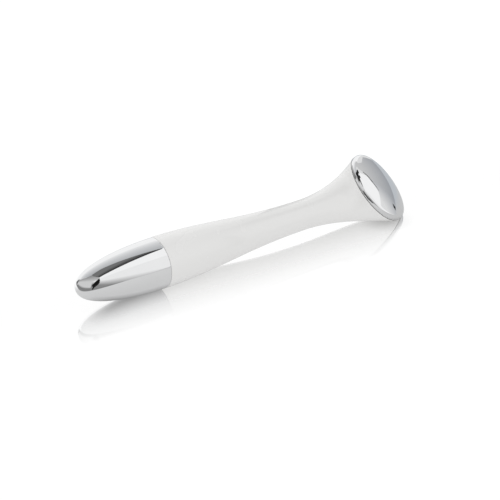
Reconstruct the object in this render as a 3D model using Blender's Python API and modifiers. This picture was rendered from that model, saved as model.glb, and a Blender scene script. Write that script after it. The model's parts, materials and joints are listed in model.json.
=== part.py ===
"""A handheld skin treatment wand: a trumpet-shaped handle with a tilted metal head,
closed at the other end by a screw-on metal cap over one small battery cell.

Everything is modelled in the wand's own frame: X runs along the handle from the tip of
the cap, Z leans the way the head faces, and Y goes across. The frame is then rolled until
the rim of the head and the handle rest on the ground together. Lengths are in metres.
"""

import math

import bmesh
import bpy
import numpy as np
from mathutils import Vector

# Clearances and how finely round pieces are cut
CLEARANCE = 0.0003
SOLDER_GAP = 0.0001
CUT_OVERRUN = 0.0100
MERGE_DISTANCE = 0.00001
SHELL_COLUMNS = 36
ROUND_STEPS = 36
SMALL_STEPS = 24
TINY_STEPS = 12
HALF_STEP = math.pi / ROUND_STEPS

# Outer form of the cap and the handle
BODY_RADIUS = 0.0100
CAP_LENGTH = 0.0350
CAP_NOSE_POWER = 2.0
CAP_FLANK_POWER = 2.42
SEAM_GAP = 0.0003
EDGE_BREAK = 0.0002
WAIST_STATION = 0.1024
WAIST_RADIUS = 0.0060
SHOULDER_RUN = 0.0259
WAIST_RUN = 0.0299
SHELL_WALL = 0.0014
HANDLE_RINGS = 12

# Outer form of the trumpet, whose mouth is a tilted circle
HEAD_STATION = 0.1393
HEAD_RISE = 0.0019
HEAD_RADIUS = 0.0155
HEAD_TILT = math.radians(59.0)
FRONT_NECK_RUN = 0.0134
FRONT_MOUTH_RUN = 0.0061
BACK_NECK_RUN = 0.0170
BACK_MOUTH_RUN = 0.0136
BACK_MOUTH_ANGLE = math.radians(10.0)
SIDE_MOUTH_SPREAD = 0.0042
MOUTH_LAND = 0.0015
TRUMPET_RINGS = 14

# Screw-on cap
CAP_WALL_SHARE = 0.12
CAP_RINGS = 12
INSERT_START = 0.0115
INSERT_FLOOR = 0.0015
INSERT_WALL_SHARE = 0.06
INSERT_LEDGE = 0.0009
INSERT_STEP_GAP = 0.0006
PLATE_THICKNESS = 0.0005
PLATE_LIP = 0.0012
RIVET_SHANK_RADIUS = 0.0010
RIVET_HEAD_RADIUS = 0.0021
RIVET_HEAD_HEIGHT = 0.0007

# Battery spring
SPRING_WIRE_RADIUS = 0.00035
SPRING_SPACE = 0.0077
SPRING_TURNS = 5
SPRING_POINTS_PER_TURN = 10

# Screw thread between the neck ring and the cap's insert, with rounded crests
THREAD_PITCH = 0.0020
THREAD_RECESS_SHARE = 0.05
THREAD_DEPTH_SHARE = 0.07
THREAD_LENGTH = 0.0056
THREAD_LEAD = 0.0004
THREAD_FADE = 0.0008
THREAD_ROWS = 20
THREAD_COLUMNS = 24

# Neck ring and its seal
NECK_REACH = 0.0091
NECK_SOCKET = 0.0087
NECK_WALL_SHARE = 0.085
COLLAR_GAP = 0.0004
THREAD_RELIEF = 0.0006
SEAL_MINOR = 0.00055

# Battery cell, of the small AAA size, which is 10.3 mm across in this body
CELL_FREEDOM = 0.0004
CELL_LENGTH = 0.0445
CELL_NUB_RADIUS = 0.0019
CELL_NUB_LENGTH = 0.0010
CELL_EDGE = 0.0005
CELL_FOOT_INSET = 0.0015

# Chassis behind the cell
BULKHEAD = 0.0023
CHASSIS_OVERHANG = 0.0004
CHASSIS_RINGS = 8
WIRE_SLOT_WIDTH = 0.0015
WIRE_SLOT_RUN = 0.0045

# Positive contact
CONTACT_MARGIN = 0.0010
CONTACT_THICKNESS = 0.0004
CONTACT_STRIP_WIDTH = 0.0024
CONTACT_STRIP_REACH = 0.0048

# Circuit board and what is soldered to it
BOARD_LENGTH = 0.0242
BOARD_REAR_WIDTH = 0.0092
BOARD_FRONT_WIDTH = 0.0068
BOARD_THICKNESS = 0.0010
BOARD_FLOOR = -0.0003
CHIP_SIZE = (0.0050, 0.0040, 0.0014)
CHIP_STATION = 0.0095
COIL_STATION = 0.0155
COIL_FLANGE_RADIUS = 0.0023
COIL_WAIST_RADIUS = 0.0017
COIL_HEIGHT = 0.0025
COIL_FLANGE = 0.0005
CAPACITOR_STATION = 0.0208
CAPACITOR_RADIUS = 0.0015
CAPACITOR_LENGTH = 0.0045
TRANSISTOR_SIZE = (0.0029, 0.0014, 0.0010)
TRANSISTOR_STATION = 0.0045
TRANSISTOR_OFFSET = 0.0028

# Vibration motor
WIRING_SPACE = 0.0032
CAN_LENGTH = 0.0095
CAN_WALL = 0.0003
CAN_FRONT = 0.0004
CAN_BOSS_RADIUS = 0.0012
CAN_BOSS_LENGTH = 0.0004
PLUG_FLANGE = 0.0008
PLUG_DEPTH = 0.0011
SHAFT_RADIUS = 0.0004
SHAFT_REACH = 0.0052
MAGNET_WALL = 0.00085
ROTOR_CUP_WALL = 0.0005
WEIGHT_RADIUS = 0.0026
WEIGHT_LENGTH = 0.0036
WEIGHT_HUB_RADIUS = 0.0011
WEIGHT_SHARE = 0.5
SLEEVE_WALL = 0.0010
SLEEVE_LENGTH = 0.0062
SLEEVE_SLOT = 0.0016

# Wires
LEAD_RADIUS = 0.00035
MOTOR_LEAD_RADIUS = 0.0003
MOTOR_LEAD_SPACING = 0.0026
LEAD_STEP = 0.0012

# Metal head plate, in the head's own frame with Z out of the mouth
RIM_BAND = 0.00085
RIM_FILLET = 0.0016
RIM_SWEEP = math.radians(73.5)
DOME_TOP = 0.00445
PLATE_WALL = 0.0010
DOME_RINGS = 7
DOME_INSIDE_RINGS = 5
FILLET_RINGS = 4
SKIRT_PLAY = 0.0016
SKIRT_WALL = 0.0008
SKIRT_DEPTH = 0.0009
BOSS_RADIUS = 0.0020
BOSS_TOP = 0.0035
PILOT_RADIUS = 0.0011
PILOT_DEPTH = 0.0018
BOSS_INSET = 0.0036
SCREW_COUNT = 3

# What holds the head plate
BASE_PLAY = 0.0034
BASE_THICKNESS = 0.0012
SCREW_RADIUS = 0.0008
SCREW_TIP_GAP = 0.0004
SCREW_HEAD_RADIUS = 0.0016
SCREW_HEAD_HEIGHT = 0.0008
TERMINAL_RADIUS = 0.0019
TERMINAL_THICKNESS = 0.0003
TERMINAL_TAB_WIDTH = 0.0016
TERMINAL_TAB_REACH = 0.0040
GASKET_MINOR = 0.0003

# Radii in the cap and the neck, from the outside to the cell. The walls are shares of the body.
CAP_WALL = BODY_RADIUS * CAP_WALL_SHARE
THREAD_DEPTH = BODY_RADIUS * THREAD_DEPTH_SHARE
INSERT_INSET = CAP_WALL + CLEARANCE
SEAL_BORE = BODY_RADIUS - INSERT_INSET - BODY_RADIUS * INSERT_WALL_SHARE
SEAL_MAJOR = SEAL_BORE - CLEARANCE - SEAL_MINOR
COLLAR_RADIUS = SEAL_BORE - COLLAR_GAP
INSERT_ROOT = SEAL_BORE - BODY_RADIUS * THREAD_RECESS_SHARE
INSERT_BORE = INSERT_ROOT - THREAD_DEPTH - INSERT_LEDGE
THREAD_ROOT = INSERT_ROOT - THREAD_DEPTH - CLEARANCE
NECK_BORE = THREAD_ROOT - BODY_RADIUS * NECK_WALL_SHARE
CELL_RADIUS = NECK_BORE - CELL_FREEDOM
CELL_FOOT_RADIUS = CELL_RADIUS - CELL_FOOT_INSET
CHASSIS_BORE = CELL_RADIUS + CLEARANCE
CONTACT_RADIUS = CHASSIS_BORE - CONTACT_MARGIN
PLATE_RADIUS = INSERT_BORE - 2 * CLEARANCE
SPRING_RADIUS = PLATE_RADIUS - PLATE_THICKNESS - CLEARANCE - SPRING_WIRE_RADIUS

# Radii of the motor in the waist
SLEEVE_RADIUS = WAIST_RADIUS - SHELL_WALL - CLEARANCE
SLEEVE_BORE = SLEEVE_RADIUS - SLEEVE_WALL
CAN_RADIUS = SLEEVE_BORE - CLEARANCE

# Radii inside the mouth
SKIRT_RADIUS = HEAD_RADIUS - MOUTH_LAND - SKIRT_PLAY
BASE_RADIUS = HEAD_RADIUS - MOUTH_LAND - BASE_PLAY
GASKET_MAJOR = SKIRT_RADIUS + CLEARANCE + GASKET_MINOR
SCREW_CIRCLE = SKIRT_RADIUS - SKIRT_WALL - BOSS_RADIUS - BOSS_INSET

# Places along the handle, each seated on the one before
SHELL_START = CAP_LENGTH + SEAM_GAP
INSERT_END = CAP_LENGTH - CLEARANCE
SPRING_PLATE_START = INSERT_START + INSERT_FLOOR + CLEARANCE
SPRING_PLATE_END = SPRING_PLATE_START + PLATE_THICKNESS
CELL_START = SPRING_PLATE_END + SPRING_SPACE
CELL_END = CELL_START + CELL_LENGTH
NECK_START = SHELL_START - NECK_REACH
NECK_END = SHELL_START + NECK_SOCKET
THREAD_START = NECK_START + THREAD_LEAD
THREAD_END = THREAD_START + THREAD_LENGTH
GROOVE_START = THREAD_END + THREAD_RELIEF
SEAL_STATION = GROOVE_START + CLEARANCE + SEAL_MINOR
GROOVE_END = SEAL_STATION + SEAL_MINOR + CLEARANCE
INSERT_THREAD_START = NECK_START - INSERT_STEP_GAP
INSERT_THREAD_END = THREAD_END + THREAD_RELIEF / 3
CHASSIS_START = NECK_END + CLEARANCE
CONTACT_START = CELL_END + CLEARANCE
CONTACT_END = CONTACT_START + CONTACT_THICKNESS
BULKHEAD_START = CONTACT_END + CLEARANCE
BAY_START = BULKHEAD_START + BULKHEAD
BOARD_START = BAY_START + CLEARANCE
BOARD_END = BOARD_START + BOARD_LENGTH
BOARD_TOP = BOARD_FLOOR + BOARD_THICKNESS
CHASSIS_END = BOARD_END + CHASSIS_OVERHANG
PLUG_START = CHASSIS_END + WIRING_SPACE
CAN_START = PLUG_START + PLUG_FLANGE + CLEARANCE
CAN_END = CAN_START + CAN_LENGTH
PLUG_END = PLUG_START + PLUG_FLANGE + PLUG_DEPTH
SHAFT_START = PLUG_END + CLEARANCE
SHAFT_END = CAN_END + SHAFT_REACH
WEIGHT_START = CAN_END + CAN_BOSS_LENGTH + 2 * CLEARANCE
WEIGHT_END = WEIGHT_START + WEIGHT_LENGTH
SLEEVE_START = CAN_START + CLEARANCE
SLEEVE_END = SLEEVE_START + SLEEVE_LENGTH

# Places in the head's frame
BASE_TOP = -SKIRT_DEPTH - CLEARANCE
BASE_BOTTOM = BASE_TOP - BASE_THICKNESS
TERMINAL_TOP = BASE_BOTTOM - CLEARANCE
TERMINAL_BOTTOM = TERMINAL_TOP - TERMINAL_THICKNESS

# Colours, linear, with roughness and metallic value
WHITE_GLOSS = ((0.85, 0.85, 0.84), 0.22, 0.0)
CHROME = ((0.80, 0.81, 0.83), 0.06, 1.0)
NICKEL = ((0.60, 0.59, 0.56), 0.28, 1.0)
BRASS = ((0.72, 0.52, 0.22), 0.30, 1.0)
STEEL = ((0.52, 0.52, 0.53), 0.32, 1.0)
BLACK_RUBBER = ((0.03, 0.03, 0.03), 0.75, 0.0)
GREY_RUBBER = ((0.20, 0.20, 0.21), 0.70, 0.0)
GREY_PLASTIC = ((0.30, 0.31, 0.32), 0.55, 0.0)
NATURAL_PLASTIC = ((0.72, 0.72, 0.68), 0.50, 0.0)
BLACK_PLASTIC = ((0.02, 0.02, 0.02), 0.50, 0.0)
CELL_JACKET = ((0.10, 0.20, 0.32), 0.35, 0.0)
BOARD_GREEN = ((0.03, 0.18, 0.08), 0.45, 0.0)
FERRITE = ((0.06, 0.06, 0.065), 0.65, 0.0)
COPPER = ((0.75, 0.32, 0.16), 0.35, 1.0)
RED_WIRE = ((0.55, 0.03, 0.03), 0.50, 0.0)
BLUE_WIRE = ((0.04, 0.08, 0.40), 0.50, 0.0)


# Scene and helper functions


def clear_scene():
    for item in list(bpy.data.objects):
        bpy.data.objects.remove(item, do_unlink=True)


def new_collection(name):
    collection = bpy.data.collections.new(name)
    bpy.context.scene.collection.children.link(collection)
    return collection


def new_frame(name, parent=None, location=(0, 0, 0), rotation=(0, 0, 0)):
    """An empty that carries pieces, on a joint's axis where they move."""
    frame = bpy.data.objects.new(name, None)
    frame.empty_display_size = BODY_RADIUS
    frame.location = location
    frame.rotation_euler = rotation
    frame.parent = parent
    PARTS.objects.link(frame)
    return frame


def finish(item, look):
    """Gives a piece its own material and smooth shading on its round sides."""
    colour, roughness, metallic = look
    material = bpy.data.materials.new(item.name)
    material.use_nodes = True
    shader = material.node_tree.nodes["Principled BSDF"]
    shader.inputs["Base Color"].default_value = (*colour, 1.0)
    shader.inputs["Roughness"].default_value = roughness
    shader.inputs["Metallic"].default_value = metallic
    item.data.materials.append(material)
    if item.type == "MESH":
        item.data.shade_smooth()
        item.data.set_sharp_from_angle(angle=math.radians(35))
    return item


def place(name, mesh, parent, look, location=(0, 0, 0), rotation=(0, 0, 0)):
    """Puts a mesh in the scene as a part, or as a cutter where it has no look."""
    item = bpy.data.objects.new(name, mesh)
    item.parent = parent
    item.location = location
    item.rotation_euler = rotation
    if look is None:
        CUTTERS.objects.link(item)
        item.display_type = "WIRE"
        item.hide_render = True
        return item
    PARTS.objects.link(item)
    return finish(item, look)


def turned(
    name,
    profile,
    parent,
    look,
    steps=SMALL_STEPS,
    location=(0, 0, 0),
    along_x=True,
    ring=False,
    twist=0,
):
    """A solid turned from (radius, height) points, which run down its outer side.

    A ring's profile is closed. Any other begins and ends on the axis. The axis is X of the
    parent's frame, or Z where along_x is False, and a twist turns its columns about it.
    """
    mesh = bpy.data.meshes.new(name)
    points = [(radius, 0.0, height) for radius, height in profile]
    edges = [(i, i + 1) for i in range(len(points) - 1)]
    if ring:
        edges.append((len(points) - 1, 0))
    mesh.from_pydata(points, edges, [])
    turn = (0, math.pi / 2, 0) if along_x else (0, 0, twist)
    item = place(name, mesh, parent, look, location, turn)
    screw = item.modifiers.new("turn", "SCREW")
    screw.axis = "Z"
    screw.angle = 2 * math.pi
    screw.steps = steps
    screw.render_steps = steps
    screw.use_merge_vertices = True
    screw.merge_threshold = MERGE_DISTANCE
    screw.use_smooth_shade = True
    return item


def tube_profile(outer, inner, low, high):
    """Closed profile of a plain tube."""
    return [(outer, high), (outer, low), (inner, low), (inner, high)]


def rod_profile(radius, low, high):
    """Profile of a plain rod, from its axis back to its axis."""
    return [(0.0, high), (radius, high), (radius, low), (0.0, low)]


def torus_profile(major, minor, height, sides=6):
    """Closed profile of a ring with a round section, running down its outer side."""
    angles = [math.pi / 2 - 2 * math.pi * (i + 0.5) / sides for i in range(sides)]
    return [(major + minor * math.cos(a), height + minor * math.sin(a)) for a in angles]


def loft(name, rings, parent, look):
    """A closed skin through rings of equal count, the last joined to the first."""
    shape = bmesh.new()
    rows = [[shape.verts.new(point) for point in ring] for ring in rings]
    columns = len(rings[0])
    for row, following in zip(rows, rows[1:] + rows[:1]):
        for i in range(columns):
            j = (i + 1) % columns
            shape.faces.new((row[i], row[j], following[j], following[i]))
    bmesh.ops.recalc_face_normals(shape, faces=shape.faces)
    mesh = bpy.data.meshes.new(name)
    shape.to_mesh(mesh)
    shape.free()
    return place(name, mesh, parent, look)


def block(name, low, high, parent, look, edge=0.0):
    """A box between two corners, with its edges broken where an edge is given."""
    low, high = Vector(low), Vector(high)
    shape = bmesh.new()
    bmesh.ops.create_cube(shape, size=1.0)
    bmesh.ops.scale(shape, vec=high - low, verts=shape.verts)
    mesh = bpy.data.meshes.new(name)
    shape.to_mesh(mesh)
    shape.free()
    item = place(name, mesh, parent, look, (low + high) / 2)
    if edge:
        bevel = item.modifiers.new("edges", "BEVEL")
        bevel.width = edge
        bevel.segments = 1
    return item


def disc_cutter(name, radius, low, high, parent, location=(0, 0, 0), along_x=True, look=None):
    return turned(name, rod_profile(radius, low, high), parent, look, SMALL_STEPS, location, along_x)


def boolean(item, tool, operation):
    change = item.modifiers.new(operation.lower(), "BOOLEAN")
    change.operation = operation
    change.solver = "EXACT"
    change.object = tool


def cut(item, tool):
    boolean(item, tool, "DIFFERENCE")


def join(item, tool):
    boolean(item, tool, "UNION")


def smooth_route(points, step):
    """Points about a step apart on a smooth curve through the given ones."""
    path = [Vector(point) for point in points]
    path = [2 * path[0] - path[1]] + path + [2 * path[-1] - path[-2]]
    route = []
    for before, start, end, after in zip(path, path[1:], path[2:], path[3:]):
        count = max(2, round((end - start).length / step))
        for i in range(count):
            t = i / count
            bend = 2 * before - 5 * start + 4 * end - after
            twist = 3 * start - before - 3 * end + after
            route.append((2 * start + (end - before) * t + bend * t**2 + twist * t**3) / 2)
    return route + [path[-2]]


def wire(name, points, radius, parent, look, resolution=2):
    """A round wire along a row of points, with flat closed ends."""
    curve = bpy.data.curves.new(name, "CURVE")
    curve.dimensions = "3D"
    curve.bevel_depth = radius
    curve.bevel_resolution = resolution
    curve.use_fill_caps = True
    spline = curve.splines.new("POLY")
    spline.points.add(len(points) - 1)
    for target, point in zip(spline.points, points):
        target.co = (*point, 1.0)
    item = bpy.data.objects.new(name, curve)
    item.parent = parent
    PARTS.objects.link(item)
    return finish(item, look)


# Shapes that several pieces follow


def spread(start, end, count):
    """Evenly spaced values from start to end, as plain numbers."""
    return np.linspace(start, end, count).tolist()


def bezier(start, leave, arrive, end, t):
    return (1 - t) ** 3 * start + 3 * (1 - t) ** 2 * t * leave + 3 * (1 - t) * t**2 * arrive + t**3 * end


def cap_profile(inset, rings):
    """(radius, station) points from the mouth to the tip, a wall's thickness inside the cap."""
    length = CAP_LENGTH - inset
    points = []
    for i in range(rings, -1, -1):
        depth = (i / rings) ** 2
        points.append((cap_radius(inset, inset + depth * length), inset + depth * length))
    return points


def cap_radius(inset, station):
    """Radius of the cap's form at a station, drawn in by an inset."""
    depth = min(1.0, max(0.0, (station - inset) / (CAP_LENGTH - inset)))
    form = (1 - (1 - depth) ** CAP_NOSE_POWER) ** (1 / CAP_FLANK_POWER)
    return (BODY_RADIUS - inset) * form


def handle_point(t):
    """(station, radius) on the outside of the round part of the handle."""
    return bezier(
        Vector((SHELL_START, BODY_RADIUS)),
        Vector((SHELL_START + SHOULDER_RUN, BODY_RADIUS)),
        Vector((WAIST_STATION - WAIST_RUN, WAIST_RADIUS)),
        Vector((WAIST_STATION, WAIST_RADIUS)),
        t,
    )


def handle_radius(station):
    """Outer radius of the round part of the handle at a station."""
    outline = [handle_point(t) for t in spread(0, 1, 60)]
    return float(np.interp(station, [p.x for p in outline], [p.y for p in outline]))


def trumpet_section(t, neck_inset, mouth_inset):
    """Centre, half height and half width of the trumpet's section, from 0 at the waist to 1."""
    neck = WAIST_RADIUS - neck_inset
    mouth = HEAD_RADIUS - mouth_inset
    centre = Vector((HEAD_STATION, HEAD_RISE))
    facing = Vector((math.cos(HEAD_TILT), math.sin(HEAD_TILT)))
    upward = Vector((-math.sin(HEAD_TILT), math.cos(HEAD_TILT)))
    trailing = Vector((math.cos(BACK_MOUTH_ANGLE), math.sin(BACK_MOUTH_ANGLE)))
    top, bottom = centre + mouth * upward, centre - mouth * upward
    front = bezier(
        Vector((WAIST_STATION, neck)),
        Vector((WAIST_STATION + FRONT_NECK_RUN, neck)),
        top - FRONT_MOUTH_RUN * facing,
        top,
        t,
    )
    back = bezier(
        Vector((WAIST_STATION, -neck)),
        Vector((WAIST_STATION + BACK_NECK_RUN, -neck)),
        bottom - BACK_MOUTH_RUN * trailing,
        bottom,
        t,
    )
    side = bezier(neck, neck, mouth - SIDE_MOUTH_SPREAD, mouth, t)
    return (front + back) / 2, (front - back) / 2, side


def section_ring(centre, half_height, half_width, columns=SHELL_COLUMNS):
    """Ring of points of one elliptic section, which begins at its top."""
    ring = []
    for i in range(columns):
        angle = 2 * math.pi * i / columns
        flat = centre + half_height * math.cos(angle)
        ring.append(Vector((flat.x, half_width * math.sin(angle), flat.y)))
    return ring


def round_ring(station, radius):
    return section_ring(Vector((station, 0)), Vector((0, radius)), radius)


def ridged_ring(station, radius_at):
    """Ring whose radius changes with the angle about X, for a thread."""
    ring = []
    for i in range(THREAD_COLUMNS):
        angle = 2 * math.pi * i / THREAD_COLUMNS
        radius = radius_at(station, angle)
        ring.append(Vector((station, radius * math.cos(angle), radius * math.sin(angle))))
    return ring


def thread_ridge(station, angle, start, end):
    """Height of the right-handed thread, 0 to 1, and how far it has risen from its ends."""
    rise = min(1.0, max(0.0, min(station - start, end - station) / THREAD_FADE))
    wave = (1 + math.cos(2 * math.pi * station / THREAD_PITCH - angle)) / 2
    return wave, rise


# Shell and cap


def make_handle_shell():
    shares = spread(0, 1, HANDLE_RINGS)
    bends = spread(0, 1, TRUMPET_RINGS)
    rings = [round_ring(SHELL_START, BODY_RADIUS - EDGE_BREAK)]
    rings.append(round_ring(SHELL_START + EDGE_BREAK, BODY_RADIUS))
    for t in shares[1:]:
        station, radius = handle_point(t)
        rings.append(round_ring(station, radius))
    for t in bends[1:]:
        rings.append(section_ring(*trumpet_section(t, 0, 0)))
    for t in bends[::-2]:
        rings.append(section_ring(*trumpet_section(t, SHELL_WALL, MOUTH_LAND)))
    for t in shares[::-2]:
        station, radius = handle_point(t)
        rings.append(round_ring(station, radius - SHELL_WALL))
    rings.append(round_ring(SHELL_START, BODY_RADIUS - SHELL_WALL))
    loft("handle_shell", rings, WAND, WHITE_GLOSS)


def make_tip_cap():
    outside = cap_profile(0, CAP_RINGS)[1:]
    outside = [
        (BODY_RADIUS - EDGE_BREAK, CAP_LENGTH),
        (BODY_RADIUS, CAP_LENGTH - EDGE_BREAK),
    ] + outside
    inside = cap_profile(CAP_WALL, CAP_RINGS)[::-1]
    turned("tip_cap", inside + outside, CAP_AXIS, CHROME, ROUND_STEPS)


def insert_wall(station, angle):
    wave, rise = thread_ridge(station, angle, INSERT_THREAD_START, INSERT_THREAD_END)
    return INSERT_ROOT - THREAD_DEPTH * rise * (1 - wave)


def make_cap_insert():
    """Brass lining of the cap: a floor with the rivet's hole, the thread and the seal's seat."""

    def plain(radius):
        return lambda station, angle: radius

    def form(station, angle):
        return cap_radius(INSERT_INSET, station)

    floor_top = INSERT_START + INSERT_FLOOR
    hole = RIVET_SHANK_RADIUS + CLEARANCE
    rings = [ridged_ring(x, form) for x in spread(INSERT_START, INSERT_END, 6)]
    rings.append(ridged_ring(INSERT_END, plain(SEAL_BORE)))
    rings.append(ridged_ring(INSERT_THREAD_END, plain(SEAL_BORE)))
    for x in spread(INSERT_THREAD_END, INSERT_THREAD_START, THREAD_ROWS + 4):
        rings.append(ridged_ring(x, insert_wall))
    rings.append(ridged_ring(INSERT_THREAD_START, plain(INSERT_BORE)))
    rings.append(ridged_ring(floor_top, plain(INSERT_BORE)))
    rings.append(ridged_ring(floor_top, plain(hole)))
    rings.append(ridged_ring(INSERT_START, plain(hole)))
    loft("cap_insert", rings, CAP_AXIS, BRASS)


def make_plate_rivet():
    rear = INSERT_START - CLEARANCE
    front = SPRING_PLATE_END + CLEARANCE
    profile = [
        (0.0, front + RIVET_HEAD_HEIGHT),
        (0.6 * RIVET_HEAD_RADIUS, front + RIVET_HEAD_HEIGHT),
        (RIVET_HEAD_RADIUS, front),
        (RIVET_SHANK_RADIUS, front),
        (RIVET_SHANK_RADIUS, rear),
        (RIVET_HEAD_RADIUS, rear),
        (RIVET_HEAD_RADIUS, rear - RIVET_HEAD_HEIGHT),
        (0.0, rear - RIVET_HEAD_HEIGHT),
    ]
    turned("plate_rivet", profile, CAP_AXIS, BRASS, TINY_STEPS)


def make_spring_plate():
    """Dished plate on which the cap turns without turning the spring."""
    inner = RIVET_SHANK_RADIUS + CLEARANCE
    profile = [
        (PLATE_RADIUS, SPRING_PLATE_END + PLATE_LIP),
        (PLATE_RADIUS, SPRING_PLATE_START),
        (inner, SPRING_PLATE_START),
        (inner, SPRING_PLATE_END),
        (PLATE_RADIUS - PLATE_THICKNESS, SPRING_PLATE_END),
        (PLATE_RADIUS - PLATE_THICKNESS, SPRING_PLATE_END + PLATE_LIP),
    ]
    turned("spring_plate", profile, SPRING_FRAME, STEEL, ring=True)


def make_battery_spring():
    """Coil between the plate and the cell. Prints the least gap between its turns."""
    margin = CLEARANCE + SPRING_WIRE_RADIUS
    start, end = SPRING_PLATE_END + margin, CELL_START - margin
    count = SPRING_TURNS * SPRING_POINTS_PER_TURN
    points = []
    for i in range(count + 1):
        angle = 2 * math.pi * i / SPRING_POINTS_PER_TURN
        station = start + (end - start) * i / count
        points.append(
            Vector((station, SPRING_RADIUS * math.cos(angle), SPRING_RADIUS * math.sin(angle)))
        )
    gaps = [
        (a - b).length - 2 * SPRING_WIRE_RADIUS
        for i, a in enumerate(points)
        for b in points[i + SPRING_POINTS_PER_TURN // 2 :]
    ]
    print(f"battery_spring: least gap to itself {1000 * min(gaps):.2f} mm")
    wire("battery_spring", points, SPRING_WIRE_RADIUS, SPRING_FRAME, STEEL, resolution=1)


def neck_thread(station, angle):
    wave, rise = thread_ridge(station, angle, THREAD_START, THREAD_END)
    return THREAD_ROOT + THREAD_DEPTH * rise * wave


def make_neck_ring():
    """Threaded metal ring in the mouth of the handle, with the groove for its seal."""

    def plain(radius):
        return lambda station, angle: radius

    groove = SEAL_MAJOR - SEAL_MINOR - CLEARANCE
    crest = THREAD_ROOT + THREAD_DEPTH
    flange_start = SHELL_START + CLEARANCE
    flange = handle_radius(NECK_END) - SHELL_WALL - CLEARANCE
    rings = [ridged_ring(NECK_START, plain(THREAD_ROOT))]
    for x in spread(THREAD_START, THREAD_END, THREAD_ROWS):
        rings.append(ridged_ring(x, neck_thread))
    outline = [
        (GROOVE_START - THREAD_RELIEF / 2, THREAD_ROOT),
        (GROOVE_START - THREAD_RELIEF / 2, crest),
        (GROOVE_START, crest),
        (GROOVE_START, groove),
        (GROOVE_END, groove),
        (GROOVE_END, COLLAR_RADIUS),
        (flange_start, COLLAR_RADIUS),
        (flange_start, flange),
        (NECK_END, flange),
        (NECK_END, NECK_BORE),
        (NECK_START, NECK_BORE),
    ]
    rings += [ridged_ring(x, plain(radius)) for x, radius in outline]
    loft("neck_ring", rings, WAND, NICKEL)


def make_cap_o_ring():
    profile = torus_profile(SEAL_MAJOR, SEAL_MINOR, SEAL_STATION)
    turned("cap_o_ring", profile, WAND, BLACK_RUBBER, ROUND_STEPS, ring=True)


# Power


def make_battery_cell():
    shoulder = CELL_END - CELL_NUB_LENGTH
    profile = [
        (0.0, CELL_END),
        (CELL_NUB_RADIUS, CELL_END),
        (CELL_NUB_RADIUS, shoulder),
        (CELL_RADIUS - CELL_EDGE, shoulder),
        (CELL_RADIUS, shoulder - CELL_EDGE),
        (CELL_RADIUS, CELL_START + 2 * CELL_EDGE),
        (CELL_RADIUS - CELL_EDGE, CELL_START + CELL_EDGE),
        (CELL_FOOT_RADIUS, CELL_START + CELL_EDGE),
        (CELL_FOOT_RADIUS, CELL_START),
        (0.0, CELL_START),
    ]
    turned("battery_cell", profile, WAND, CELL_JACKET)


def make_positive_contact():
    """Disc against the cell, with a strip through the bulkhead to the top of the board."""
    disc = rod_profile(CONTACT_RADIUS, CONTACT_START, CONTACT_END)
    contact = turned("positive_contact", disc, WAND, BRASS)
    half = CONTACT_STRIP_WIDTH / 2
    base = BOARD_TOP + CLEARANCE
    low = (CONTACT_END - CONTACT_THICKNESS / 2, -half, base)
    high = (CONTACT_END + CONTACT_STRIP_REACH, half, base + CONTACT_THICKNESS)
    join(contact, block("contact_strip", low, high, WAND, None))


def make_chassis():
    """Carrier that fills the handle behind the neck: a tube for the cell, then a tray."""
    profile = [(0.0, CHASSIS_END)]
    for station in spread(CHASSIS_END, CHASSIS_START, CHASSIS_RINGS):
        profile.append((handle_radius(station) - SHELL_WALL - CLEARANCE, station))
    profile.append((0.0, CHASSIS_START))
    chassis = turned("chassis", profile, WAND, GREY_PLASTIC)
    bore_start = CHASSIS_START - CUT_OVERRUN
    cut(chassis, disc_cutter("cell_bore_cut", CHASSIS_BORE, bore_start, BULKHEAD_START, WAND))
    low = (BAY_START, -CUT_OVERRUN, BOARD_FLOOR - CLEARANCE)
    high = (CHASSIS_END + CUT_OVERRUN, CUT_OVERRUN, CUT_OVERRUN)
    cut(chassis, block("board_bay_cut", low, high, WAND, None))
    half = WIRE_SLOT_WIDTH / 2
    low = (bore_start, -half, -CUT_OVERRUN)
    high = (BAY_START + WIRE_SLOT_RUN, half, BOARD_FLOOR)
    cut(chassis, block("wire_slot_cut", low, high, WAND, None))
    half = CONTACT_STRIP_WIDTH / 2 + CLEARANCE
    low = (BULKHEAD_START - CLEARANCE, -half, BOARD_TOP)
    high = (BAY_START + CLEARANCE, half, BOARD_TOP + 2 * CLEARANCE + CONTACT_THICKNESS)
    cut(chassis, block("strip_slot_cut", low, high, WAND, None))


# Circuit


def make_circuit_board():
    """Tapered board, drawn as a flat outline and extruded by half its thickness each way."""
    rear, front = BOARD_REAR_WIDTH / 2, BOARD_FRONT_WIDTH / 2
    outline = [(BOARD_START, -rear), (BOARD_END, -front), (BOARD_END, front), (BOARD_START, rear)]
    curve = bpy.data.curves.new("circuit_board", "CURVE")
    curve.dimensions = "2D"
    curve.fill_mode = "BOTH"
    curve.extrude = BOARD_THICKNESS / 2
    spline = curve.splines.new("POLY")
    spline.points.add(len(outline) - 1)
    spline.use_cyclic_u = True
    for target, (x, y) in zip(spline.points, outline):
        target.co = (x, y, 0.0, 1.0)
    board = bpy.data.objects.new("circuit_board", curve)
    board.parent = WAND
    board.location = (0, 0, (BOARD_FLOOR + BOARD_TOP) / 2)
    PARTS.objects.link(board)
    finish(board, BOARD_GREEN)


def make_chip(name, size, station, offset):
    """Moulded component with broken edges, just above the board."""
    length, width, height = size
    middle = BOARD_START + station
    base = BOARD_TOP + SOLDER_GAP
    low = (middle - length / 2, offset - width / 2, base)
    high = (middle + length / 2, offset + width / 2, base + height)
    block(name, low, high, WAND, BLACK_PLASTIC, edge=SOLDER_GAP)


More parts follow.
